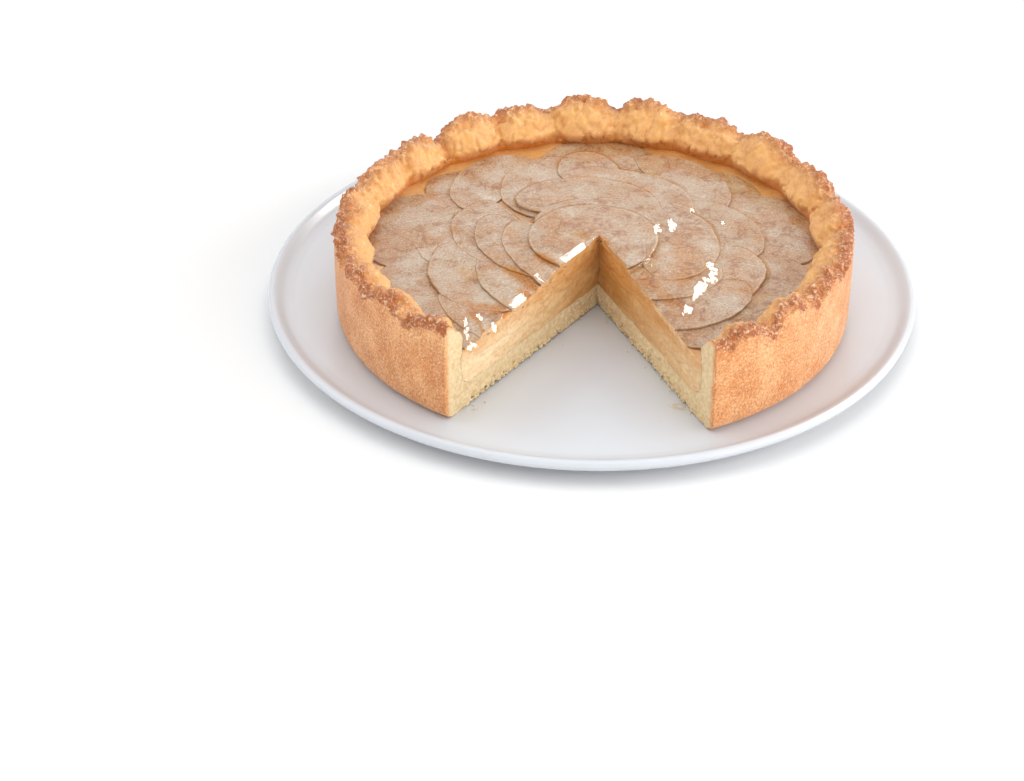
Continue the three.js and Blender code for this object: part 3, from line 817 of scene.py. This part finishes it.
# Laid over the plain colour in turn, as on the shortcrust. The first pales it towards the wall, partly
# the apple's own colour and partly painted shade towards the cuts' point; the third is painted shade
# on the bed beside the cuts.
for seen, low, high, much, over in (
    (near_wall_and_lit, 0, 1, 1, outer),
    (browning, 0, 1, 1, "#D08C4A"),
    (shaded_bed_here, 0, 1, 1, shaded_bed_colour),
    (grains, 0.5, 0.75, 0.5, "#BE8C55"),
    (seam, 0, 1, 0.2, "#A86C34"),
):
    share = add(tree, "MapRange", {"Value": seen, "From Min": low, "From Max": high, "To Max": much})
    colour = add(tree, "Mix", {SHARE: share, FIRST: colour, SECOND: over}, MIXED, data_type="RGBA")
height = add(tree, "Math", {0: grains, 1: 0.8, 2: pulp}, operation="MULTIPLY_ADD")
bump = add(tree, "Bump", {"Height": height, "Strength": 0.6, "Distance": 0.6 * MM})
soft = add(tree, "BsdfPrincipled", {"Base Color": colour, "Roughness": 0.42, "IOR": 1.36, "Normal": bump})
add(tree, "OutputMaterial", {"Surface": soft})
filling.data.materials.append(cooked_apple)
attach(filling, "root")
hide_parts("filling")

# ---------- the apple slices ----------
# Thin slices of peeled apple and one whole disc, laid in overlapping rings from the wall to the
# middle and baked soft. The cuts went through those that lay across them.

SPOKES = 144
RINGS = np.linspace(0, 0.97, 25)
# A slice's worn edge: how far in from its outline, and how far down its thickness.
EDGE_LINE = [(0.9, 0.0), (0.5, 0.05), (0.22, 0.16), (0.05, 0.38), (0.0, 0.6), (0.15, 0.85), (0.5, 1.0)]

# A block in the shape of the missing slice, longer and higher than the tart.
BLOCK_LENGTH, BLOCK_LOW_Z, BLOCK_HIGH_Z = 260, 20, 80
gap_corners = [CUT_POINT]
gap_corners += [CUT_POINT + BLOCK_LENGTH * way_at(azimuth) for azimuth in (CUT_LEFT, CUT_RIGHT)]
block_points = [[*corner, z] for z in (BLOCK_LOW_Z, BLOCK_HIGH_Z) for corner in gap_corners]
block_faces = [[0, 2, 1], [3, 4, 5], [0, 1, 4, 3], [1, 2, 5, 4], [2, 0, 3, 5]]
knife_block = solid_object("knife_block", block_points, block_faces)
weld(knife_block)
room_azimuths = np.linspace(0, 360, 721)
room_radius = WALL_INSIDE - 3 * lump_at(room_azimuths)[0] * (1 - 0.7 * pared(room_azimuths)) - 0.3

slices = []
for piece in PIECES:
    angles = np.linspace(0, 2 * math.pi, SPOKES, endpoint=False)
    reach = reach_of(piece, angles)
    cos, sin = piece["along"]
    rings = [(np.minimum(reach * share, reach - 1.1), 0.0) for share in RINGS[1:]]
    rings += [(reach - inset, down) for inset, down in EDGE_LINE]
    rings += [(reach * share, 1.0) for share in (0.9, 0.75, 0.5, 0.25)]
    made_points = []
    for distance, down in [(np.zeros(1), 0.0)] + rings + [(np.zeros(1), 1.0)]:
        around = angles if len(distance) > 1 else np.zeros(1)
        ahead, aside = distance * np.cos(around), distance * np.sin(around)
        x = piece["middle"][0] + ahead * cos - aside * sin
        y = piece["middle"][1] + ahead * sin + aside * cos
        radius = np.hypot(x, y)
        room = np.interp(np.degrees(np.arctan2(y, x)) % 360, room_azimuths, room_radius)
        pull = np.minimum(1, room / np.maximum(radius, 1e-6))
        x, y = x * pull, y * pull
        top, bottom = lay(x, y, piece["name"])
        made_points.append(np.stack([x, y, top + (bottom - top) * down], -1))
    slice_points = np.concatenate(made_points)
    faces = []
    last = len(slice_points) - 1
    for i in range(SPOKES):
        j = (i + 1) % SPOKES
        faces += [[0, 1 + i, 1 + j], [last - SPOKES + i, last, last - SPOKES + j]]
        for a in range(1, last - SPOKES, SPOKES):
            faces.append([a + i, a + SPOKES + i, a + SPOKES + j, a + j])
    made = solid_object(piece["name"] + "_baked", slice_points, faces)
    weld(made)
    cut = made.modifiers.new("knife", "BOOLEAN")
    cut.operation = "DIFFERENCE"
    cut.solver = "MANIFOLD"
    cut.object = knife_block
    evaluated = made.evaluated_get(bpy.context.evaluated_depsgraph_get())
    cut_mesh = bpy.data.meshes.new_from_object(evaluated)
    made.modifiers.clear()
    made.data = cut_mesh
    slices.append((piece, made))
bpy.data.objects.remove(knife_block)

# Baked apple: pale, matt and fibrous, greyed by the heat, and browner round the core, where the seeds
# were. A thin pale band inside each edge is a painted highlight, and the brown edge itself is partly
# browned by the bake and partly painted shade.
baked_apple, tree = new_material("baked_apple_slice")
place = add(tree, "TexCoord", out="Object")
rim, core_stain, slice_tint, fan, reach_out = (
    add(tree, "Attribute", out="Fac", attribute_name=name)
    for name in ("rim", "core_stain", "slice_tint", "fan", "reach_out")
)
fibre_place = add(tree, "CombineXYZ", {"X": fan, "Y": reach_out, "Z": slice_tint})
fibres = add(tree, "TexNoise", {"Vector": fibre_place, "Scale": 1.0, "Detail": 4.0, "Distortion": 0.3})
mottle, grit, soak, vein = (
    add(tree, "TexNoise", {"Vector": place, "Scale": 1 / (wide * MM), **more})
    for wide, more in (
        (13, {"Detail": 5.0, "Roughness": 0.65}),
        (1.0, {"Detail": 2.0, "Roughness": 0.7}),
        (24, {"Detail": 3.0, "Distortion": 0.7}),
        (15, {"Detail": 3.0, "Distortion": 1.6}),
    )
)
speck = add(tree, "TexVoronoi", {"Vector": place, "Scale": 1 / (8 * MM)}, voronoi_dimensions="2D")
mottled = add(tree, "MapRange", {"Value": mottle, "From Min": 0.33, "From Max": 0.65})
flesh = add(tree, "Mix", {SHARE: mottled, FIRST: "#D0C9C0", SECOND: "#B08562"}, MIXED, data_type="RGBA")
off_line = add(tree, "Math", {0: vein, 1: 0.5}, operation="SUBTRACT")
off_line = add(tree, "Math", {0: off_line}, operation="ABSOLUTE")
veined = add(tree, "MapRange", {"Value": off_line, "From Min": 0.04, "From Max": 0.01})
patchy = add(tree, "MapRange", {"Value": mottle, "From Min": 0.46, "From Max": 0.56, "To Max": 0.75})
veined = add(tree, "Math", {0: veined, 1: patchy}, operation="MULTIPLY")
stained = add(tree, "Math", {0: core_stain, 1: fibres}, operation="MULTIPLY")
# Laid over the flesh in turn, as on the shortcrust. The last two are along the edge: a painted
# highlight, and a brown that is partly the bake and partly painted shade.
for seen, low, high, much, over in (
    (slice_tint, 0, 40, 0.4, "#B0906F"),
    (soak, 0.46, 0.62, 0.6, "#C08C5E"),
    (fibres, 0.4, 0.75, 0.3, "#A88263"),
    (grit, 0.4, 0.66, 0.5, "#94704F"),
    (grit, 0.46, 0.3, 0.35, "#E6DED2"),
    (veined, 0, 1, 1, "#95603F"),
    (stained, 0.2, 0.6, 0.8, "#AD6A40"),
    (speck, 0.075, 0.03, 0.75, "#8F5630"),
    # Painted highlight: a pale band just inside the edge, for the jelly's bright edge.
    (rim, 1.6, 0.7, 0.2, "#DDCBA8"),
    # The brown edge: partly browned by the bake, partly painted shade on the slice's side.
    (rim, 0.45, 0.05, 0.8, "#9C6C3E"),
):
    share = add(tree, "MapRange", {"Value": seen, "From Min": low, "From Max": high, "To Max": much})
    flesh = add(tree, "Mix", {SHARE: share, FIRST: flesh, SECOND: over}, MIXED, data_type="RGBA")
bump = add(tree, "Bump", {"Height": grit, "Strength": 0.6, "Distance": 0.3 * MM})
matt = add(tree, "BsdfPrincipled", {"Base Color": flesh, "Roughness": 0.45, "IOR": 1.36, "Normal": bump})
add(tree, "OutputMaterial", {"Surface": matt})
for piece, made in slices:
    at = np.array([point.co[:2] for point in made.data.vertices]) / MM
    angle, away, reach = in_slice(piece, *at.T)
    ahead, aside = away * np.cos(angle), away * np.sin(angle)
    below_core = aside + piece["core"] * 0.6
    stain = np.exp(-((ahead / 9) ** 2) - (below_core / 5) ** 2) * (piece["tint"] > 0.45)
    for name, values in (
        ("rim", reach - away),
        ("core_stain", stain),
        ("slice_tint", piece["tint"] * 40),
        ("fan", np.arctan2(ahead, below_core + 14) * 26),
        ("reach_out", np.hypot(ahead, below_core + 14) / 12),
        ("layer_tone_and_shade", 0.3 + 0.5 * piece["tint"]),
        ("toward_wall_and_lit", np.hypot(*(at - CUT_POINT).T) / CUT_REACH),
        ("toward_top", 0.8),
    ):
        paint(made, name, values)
    made.data.materials.clear()
    for material in (baked_apple, cooked_apple):
        made.data.materials.append(material)
    for polygon in made.data.polygons:
        middle = polygon.center / MM
        if abs(polygon.normal.z) < 0.3 and abs(to_cut(middle.x, middle.y)) < 0.05:
            polygon.material_index = 1
    smooth(made.data, 50)
    stand_on_plate(made)
    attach(made, "root")
    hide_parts(piece["name"])

# ---------- the crumbs ----------
# Short crumbs that the knife broke from the base. They cling along the foot of both cut faces, and a
# few lie loose on the plate.

CRUMBS_A_CUT = 460
ball = bmesh.new()
bmesh.ops.create_icosphere(ball, subdivisions=1, radius=1)
ball_points = np.array([v.co[:] for v in ball.verts])
ball_faces = np.array([[v.index for v in f.verts] for f in ball.faces])
ball.free()
strew = np.random.default_rng(11)
crumb_points = []
crumb_faces = []
for azimuth, side in ((CUT_RIGHT, 1), (CUT_LEFT, -1)):
    way = way_at(azimuth)
    facing = np.array([way[1], -way[0]]) * side
    for i in range(CRUMBS_A_CUT):
        loose = i % 30 == 0
        size = strew.uniform(0.2, 0.5) if loose else strew.uniform(0.35, 1.05)
        out = strew.uniform(0.4, 7) if loose else strew.uniform(-0.8, 0.2)
        lift = 0 if loose else strew.uniform(0, 2.2) ** 1.5
        spot = CUT_POINT + way * strew.uniform(4, 119) + facing * out
        middle = np.array([*spot, PLATE_WELL_Z + 0.3 + size * 0.8 + lift])
        bumpy = 1 + 0.55 * bumps(ball_points + i * 3.7, 0.7, 44, 2)
        stretch = strew.uniform(0.7, 1.2, 3)
        crumb_faces.append(ball_faces + len(crumb_points) * len(ball_points))
        crumb_points.append(middle + ball_points * bumpy[:, None] * stretch * size)
crumbs = solid_object("shortcrust_crumbs", np.concatenate(crumb_points), np.concatenate(crumb_faces))
for name, level in (("browned", 0), ("soaked", 0), ("depth", 10), ("crumb_crack_shade", 0.2), ("toward_foot", 0)):
    paint(crumbs, name, level)
crumbs.data.materials.append(shortcrust)
stand_on_plate(crumbs)
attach(crumbs, "root")

# ---------- the jelly ----------
# Clear apple jelly, poured warm over the slices. It lies as a thin film on them, fills the steps
# at their edges and stands in amber pools along the wall.

GRID_STEP = 0.6
GRID_HALF = 120
POOL_Z = 42.5
axis = np.arange(-GRID_HALF, GRID_HALF + GRID_STEP / 2, GRID_STEP)
grid_x, grid_y = np.meshgrid(axis, axis)


def soften(heights, width):
    """Evens out a grid of heights over about that width in millimetres."""
    reach = int(3 * width / GRID_STEP) + 1
    kernel = np.exp(-0.5 * (np.arange(-reach, reach + 1) * GRID_STEP / width) ** 2)
    kernel /= kernel.sum()
    for turn in range(2):
        padded = np.pad(heights, ((reach, reach), (0, 0)), mode="edge")
        heights = sum(w * padded[i : i + len(heights)] for i, w in enumerate(kernel)).T
    return heights


dry = np.maximum(lay(grid_x, grid_y)[0], filling_top(grid_x, grid_y))
back_share = ease((grid_y + 0.5 * grid_x + 10) / 60)
pooled = np.maximum(dry, POOL_Z - 1.1 * (1 - back_share))
filled = pooled
for _ in range(4):
    filled = np.maximum(pooled, soften(filled, 1.4))
filled = np.maximum(filled, soften(pooled, 3.6) - 0.35)
more_right = 0.6 + 0.4 * ease(grid_x / 50)
poured = soften(pooled + more_right * (filled - pooled) + 0.15, 0.45)
poured = np.maximum(poured, dry + 0.08)
# Three steps where more jelly ran together and lies level: x, y, and how far round.
for x, y, wide in ((68, -64.5, 10), (79, -49, 9), (26, -26, 6)):
    there = np.exp(-(((grid_x - x) ** 2 + (grid_y - y) ** 2) / wide**2))
    poured = poured + there * np.maximum(soften(poured, 4.5) + 0.5 - poured, 0)


def on_grid(heights, x, y):
    """Reads a grid of heights at any point."""
    across = np.clip((x + GRID_HALF) / GRID_STEP, 0, len(axis) - 1.001)
    up = np.clip((y + GRID_HALF) / GRID_STEP, 0, len(axis) - 1.001)
    i, j = up.astype(int), across.astype(int)
    v, u = up - i, across - j
    low = heights[i, j] * (1 - u) + heights[i, j + 1] * u
    high = heights[i + 1, j] * (1 - u) + heights[i + 1, j + 1] * u
    return low * (1 - v) + high * v


JELLY_COLUMNS, JELLY_ROWS = 640, 150
# The columns lie twice as close within 32 degrees of a cut.
span = np.array([CUT_RIGHT, CUT_RIGHT + 32, CUT_LEFT - 32, CUT_LEFT])
column_share = np.cumsum([0, 64, CUT_LEFT - CUT_RIGHT - 64, 64])
jelly_azimuths = np.interp(np.linspace(0, column_share[-1], JELLY_COLUMNS), column_share, span)
room = np.interp(jelly_azimuths % 360, room_azimuths, room_radius) + 0.9
outer_point = along_cut(jelly_azimuths, room)
shares = np.linspace(0, 1, JELLY_ROWS)
jelly_xy = CUT_POINT + shares[:, None, None] * (outer_point - CUT_POINT)
x, y = jelly_xy[..., 0], jelly_xy[..., 1]
jelly_z = on_grid(poured, x, y)
to_wall = (1 - shares)[:, None] * np.hypot(*(outer_point - CUT_POINT).T)[None, :]
jelly_z = jelly_z + 0.7 * np.exp(-to_wall / 0.9)
ripple_points = np.stack([x.ravel(), y.ravel(), 0 * x.ravel()], -1)
ripples = 0.08 * bumps(ripple_points, 14, 21) + 0.02 * bumps(ripple_points, 4, 22)
jelly_z = jelly_z + ripples.reshape(x.shape)
jelly_depth = (jelly_z - on_grid(dry, x, y)) * ease(to_wall / 3)
jelly_grid = np.concatenate([jelly_xy, jelly_z[..., None]], -1)
# Where the jelly browned: from one point to another, how wide, and how much.
BROWNED = [
    (-42, -29, -30, -43.5, 3.4, 1), (-28, -19, -19.5, -28.5, 2.4, 0.9), (-56, -60, -45, -62, 2.2, 0.7),
    (-47, -65, -38, -70, 3.4, 1), (-60, -66, -53, -82, 1.2, 0.8), (-61, -56, -56, -70, 1.1, 0.6),
    (-7, 0, -4, -2, 3, 0.8), (4, -5, 7, -9, 2.6, 0.8), (-64, -26, -60, -32, 5, 0.5),
    (-71, 17, -69, 10, 2.6, 0.5), (-88, 17, -84, 14, 4, 0.35), (-50, 60, -46, 58, 2.6, 0.5),
    (24, -40, 38, -60, 4.5, 0.6), (52, -22, 44, -10, 9, 0.3), (64, -44, 76, -46, 3, 0.4),
    (80, 4, 86, 8, 4, 0.3), (48, -30, 42, -40, 8, 0.35), (-36, -48, -30, -52, 2.4, 0.7),
]  # fmt: skip
caramel = np.zeros(x.shape)
for x0, y0, x1, y1, wide, much in BROWNED:
    run = np.array([x1 - x0, y1 - y0])
    share = np.clip(((x - x0) * run[0] + (y - y0) * run[1]) / (run @ run), 0, 1)
    away = np.hypot(x - x0 - share * run[0], y - y0 - share * run[1])
    caramel = np.maximum(caramel, much * np.exp(-((away / wide) ** 2)))
# At each cut the jelly ends in a rounded lip of three lines: how far each is out, and how far down.
lips = []
for column, azimuth, side in ((0, CUT_RIGHT, 1), (-1, CUT_LEFT, -1)):
    way = way_at(azimuth)
    facing = np.array([way[1], -way[0], 0]) * side
    hang = 0.6 + 0.4 * bumps([[t * 114, azimuth, 0] for t in shares], 7, 23, 2)
    lines = ((0.25, np.full(JELLY_ROWS, 0.12)), (0.3, hang * 0.6), (0.05, hang))
    lips.append([jelly_grid[:, column] + facing * out - np.outer(down, (0, 0, 1)) for out, down in lines])
columns = lips[0][::-1] + [jelly_grid[:, i] for i in range(JELLY_COLUMNS)] + lips[1]
jelly_points = np.stack(columns, 1)[::-1]  # from the wall to the cuts' point, to face upwards
jelly = solid_object("apple_jelly", jelly_points.reshape(-1, 3), grid_faces(JELLY_ROWS, len(columns)))
for name, values in (("jelly_depth", jelly_depth), ("caramel", caramel)):
    paint(jelly, name, np.pad(values, ((0, 0), (3, 3)), mode="edge")[::-1].ravel())
stand_on_plate(jelly)

# Where the end of a slice stands up under the jelly, the jelly lies in a fold over it that falls off
# to the right and the front in short flat steps. Each fold is how steeply it falls to the right and
# to the front, and then rows of y, its left edge's x, and how wide it is there.
FOLDS = [
    (0.285, 0.233, [(-57, 46.5, 0), (-54, 46.5, 2.6), (-50, 47, 4.6), (-45, 48.5, 5.6), (-41, 51.5, 5.2),
     (-38, 55, 3.8), (-33, 56, 3.2), (-28, 55, 4.8), (-24.5, 55, 3.4), (-22, 56, 0)]),
    (0.291, 0.221, [(-70, 41, 0), (-67, 41, 3.4), (-62.5, 42, 3.4), (-59.5, 43, 0)]),
    (0.32, 0.265, [(0, 31, 0), (2, 30.6, 2.6), (6, 30.4, 3.2), (9.5, 31, 2.6), (11.5, 31.5, 0)]),
    (0.31, 0.265, [(4, 39, 0), (6.5, 38.2, 3), (11, 37.8, 3.8), (15.5, 38.4, 2.8), (18.5, 39.5, 0)]),
    (0.302, 0.275, [(27, 50.3, 0), (29.5, 49.8, 2.8), (32, 50.5, 0)]),
    (0.29, 0.275, [(17, 66.5, 0), (19, 65.8, 2), (21, 66.5, 0)]),
    (0.406, 0.235, [(-91, -62, 0), (-88, -62.4, 1.6), (-80, -62.8, 1.8), (-72, -63.6, 1.5), (-69, -64, 0)]),
    (0.406, 0.235, [(-74.5, -57, 0), (-72, -57, 2.4), (-69, -57, 2), (-67, -57, 0)]),
    (0.4, 0.24, [(-81, -50, 0), (-78, -50, 3), (-75, -50, 2.4), (-73.5, -50, 0)]),
    (0.41, 0.23, [(-97, -61, 0), (-94.5, -61, 3.2), (-91.5, -61, 3), (-90, -61, 0)]),
]  # fmt: skip
STEP_LENGTH, FOLD_SPACING = 2.6, 0.3
even_level = soften(poured, 2)
fold_points = []
fold_faces = []
for fall_right, fall_front, rows in FOLDS:
    across, left, wide = np.array(rows, float).T
    for step in range(int(across[0] // STEP_LENGTH), int(across[-1] // STEP_LENGTH) + 1):
        front = step * STEP_LENGTH
        middle = front + STEP_LENGTH / 2
        width = np.interp(middle, across, wide) * (1 + 0.2 * math.sin(1.9 * step))
        if width < 0.9:
            continue
        start = np.interp(middle, across, left) + 0.5 * math.sin(2.4 * step)
        xs = np.arange(start - 1.5, start + width + 1.5, FOLD_SPACING)
        ys = np.arange(front - 1.2, front + STEP_LENGTH + 1.2, FOLD_SPACING)
        gx, gy = np.meshgrid(xs, ys)
        at = np.stack([gx.ravel(), gy.ravel(), 0 * gx.ravel()], -1)
        ragged = 0.45 * bumps(at, 2.6, 24).reshape(gx.shape)
        inside = np.minimum.reduce([gx - start, start + width - gx, gy - front, front + STEP_LENGTH - gy])
        level = on_grid(even_level, start + width / 2, middle)
        height = level + fall_right * (start + width - gx) + fall_front * (gy - front)
        height -= 2 * np.clip(-inside - ragged, 0, None)
        film = on_grid(poured, gx, gy)
        first = sum(len(p) for p in fold_points)
        fold_points.append(np.stack([gx, gy, np.maximum(height, film - 0.3)], -1).reshape(-1, 3))
        stands = (height > film - 0.25).ravel()
        patch_faces = grid_faces(*gx.shape, first)
        fold_faces += [face for face in patch_faces if any(stands[i - first] for i in face)]
folds = solid_object("apple_jelly_folds", np.concatenate(fold_points), fold_faces, 12)
for name, amount in (("jelly_depth", 0.3), ("caramel", 0.0)):
    paint(folds, name, amount)
stand_on_plate(folds)

# Set apple jelly: clear and faintly amber, darker where it stands deep, with a wet, sharp gloss.
clear_jelly, tree = new_material("clear_apple_jelly")
place = add(tree, "TexCoord", out="Object")
depth_here = add(tree, "Attribute", out="Fac", attribute_name="jelly_depth")
caramel_here = add(tree, "Attribute", out="Fac", attribute_name="caramel")
streaks = add(tree, "TexNoise", {"Vector": place, "Scale": 1 / (4 * MM), "Detail": 4.0, "Distortion": 1.0})
burnt = add(tree, "Math", {0: streaks, 1: -0.45}, operation="ADD")
burnt = add(tree, "Math", {0: burnt, 1: caramel_here}, operation="ADD")
burnt = add(tree, "MapRange", {"Value": burnt, "From Min": 0.1, "From Max": 1.1})
deep = add(tree, "MapRange", {"Value": depth_here, "From Min": 0.35, "From Max": 1.5})
tint = add(tree, "Mix", {SHARE: deep, FIRST: "#FFFCF7", SECOND: "#FBEFD8"}, MIXED, data_type="RGBA")
tint = add(tree, "Mix", {SHARE: burnt, FIRST: tint, SECOND: "#F8D8A6"}, MIXED, data_type="RGBA")
through = add(tree, "BsdfTransparent", {"Color": tint})
wobble = add(tree, "TexNoise", {"Vector": place, "Scale": 1 / (3 * MM), "Detail": 2.0})
bump = add(tree, "Bump", {"Height": wobble, "Strength": 0.5, "Distance": 0.12 * MM})
gloss = add(tree, "BsdfGlossy", {"Color": (1, 1, 1, 1), "Roughness": 0.09, "Normal": bump})
grazing = add(tree, "LayerWeight", {"Blend": 0.5}, "Facing")
grazing = add(tree, "Math", {0: grazing, 1: 5.0}, operation="POWER")
mirror = add(tree, "Math", {0: grazing, 1: 0.97, 2: 0.027}, operation="MULTIPLY_ADD")
wet_gloss = add(tree, "MixShader", {0: mirror, 1: through, 2: gloss})
add(tree, "OutputMaterial", {"Surface": wet_gloss})
for made in (jelly, folds):
    made.data.materials.append(clear_jelly)
    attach(made, "root")

# ---------- the jelly thread ----------
# A thin thread of set jelly that the knife drew out as it left the tart. It lies on the plate in a
# small loop, in front of the right cut.

THREAD_AT = np.array([37.9, -94.5])
THREAD_HALF = 0.45
THREAD_SIDES = 8
CROSSING = 37  # the step along the thread where it lies over itself
loop_line = [
    [-4.2, 0.8], [-2.6, -0.6], [0.4, -2.0], [3.0, -1.6], [3.6, 0.4], [1.8, 1.9], [-0.8, 1.5], [-1.9, -0.2],
    [-0.4, -1.4], [2.0, -2.6], [4.6, -2.9],
]  # fmt: skip
loop_line = smooth_line(loop_line, [5] * 10)
over = np.exp(-(((np.arange(len(loop_line)) - CROSSING) / 4) ** 2))
lifted = PLATE_WELL_Z + THREAD_HALF + 0.02 + 0.8 * over
thread_points = []
for i, spot in enumerate(loop_line):
    ahead = loop_line[min(i + 1, len(loop_line) - 1)] - loop_line[max(i - 1, 0)]
    ahead /= np.hypot(*ahead)
    half = THREAD_HALF * math.sin(math.pi * (i + 0.6) / (len(loop_line) + 0.2)) ** 0.3
    for turn in np.linspace(0, 2 * math.pi, THREAD_SIDES, endpoint=False):
        side = half * math.cos(turn) * np.array([-ahead[1], ahead[0]])
        thread_points.append([*(THREAD_AT + spot + side), lifted[i] + half * math.sin(turn)])
ends = list(range(THREAD_SIDES))
thread_faces = [ends[::-1], [len(thread_points) - THREAD_SIDES + k for k in ends]]
for i in range(0, len(thread_points) - THREAD_SIDES, THREAD_SIDES):
    for k in ends:
        a, b = i + k, i + (k + 1) % THREAD_SIDES
        thread_faces.append([a, b, b + THREAD_SIDES, a + THREAD_SIDES])
thread = solid_object("jelly_thread", thread_points, thread_faces)
for name, amount in (("jelly_depth", 0.6), ("caramel", 0.0)):
    paint(thread, name, amount)
thread.data.materials.append(clear_jelly)
stand_on_plate(thread)
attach(thread, "root")

# ---------- the studio ----------
# A white paper sweep in a soft white tent. Windows of soft light stand at the right, the left and the
# front, a box hangs overhead, and a small lamp behind shows only in the jelly's gloss.

FLOOR_HALF = 4.0
floor_mesh = bpy.data.meshes.new("floor")
floor_corners = [(x * FLOOR_HALF, y * FLOOR_HALF, 0) for x, y in ((-1, -1), (1, -1), (1, 1), (-1, 1))]
floor_mesh.from_pydata(floor_corners, [], [[0, 1, 2, 3]])
floor = bpy.data.objects.new("floor", floor_mesh)
scene.collection.objects.link(floor)
paper, tree = new_material("white_paper")
add(tree, "OutputMaterial", {"Surface": add(tree, "BsdfDiffuse", {"Color": "#F0F0F0"})})
floor_mesh.materials.append(paper)

world = bpy.data.worlds.new("white_tent")
scene.world = world
world.use_nodes = True
tent = world.node_tree.nodes["Background"]
tent.inputs["Color"].default_value = linear("#FFFFFF")
tent.inputs["Strength"].default_value = 0.46

AIM = Vector((0, -0.02, 0.03))


def soft_light(name, azimuth, elevation, distance, size, radiance, glints_only=False):
    """A soft light of a width and a height that looks at the tart from an azimuth, an elevation and
    a distance, all sizes in metres. It can light glosses alone."""
    lamp = bpy.data.lights.new(name, "AREA")
    lamp.shape = "RECTANGLE"
    lamp.size, lamp.size_y = size
    lamp.energy = radiance * math.pi * size[0] * size[1]
    made = bpy.data.objects.new(name, lamp)
    turn, rise = math.radians(azimuth), math.radians(elevation)
    way = Vector((math.cos(turn) * math.cos(rise), math.sin(turn) * math.cos(rise), math.sin(rise)))
    made.location = AIM + way * distance
    made.rotation_euler = (-way).to_track_quat("-Z", "Y").to_euler()
    made.visible_diffuse = not glints_only
    scene.collection.objects.link(made)


# Each light's azimuth and elevation, how far off it is, its width and height, and its brightness.
soft_light("overhead_box", 90, 86, 1.8, (1.5, 1.5), 1.7)
soft_light("window_right", -32, 24, 2.2, (2.4, 1.6), 2.6)
soft_light("window_far_right", 8, 14, 2.2, (1.2, 1.0), 4.2)
soft_light("window_left", 178, 32, 2.2, (1.8, 1.3), 2.3)
soft_light("window_in_front", -100, 14, 2.4, (1.8, 1.0), 1.5)
soft_light("lamp_behind", 50, 45, 1.5, (0.3, 0.3), 30, glints_only=True)
soft_light("pale_wall_behind", 90, 30, 2.4, (2.6, 1.3), 0.9)

# The camera looks down on the tart from the front, about 1.2 m off.
lens = bpy.data.cameras.new("camera")
lens.lens = 84.95
lens.sensor_width = 36
camera = bpy.data.objects.new("camera", lens)
camera.location = (-0.040466, -1.065205, 0.649697)
camera.rotation_euler = (math.radians(56.474), 0, 0)
scene.collection.objects.link(camera)
scene.camera = camera
scene.view_settings.view_transform = "Standard"
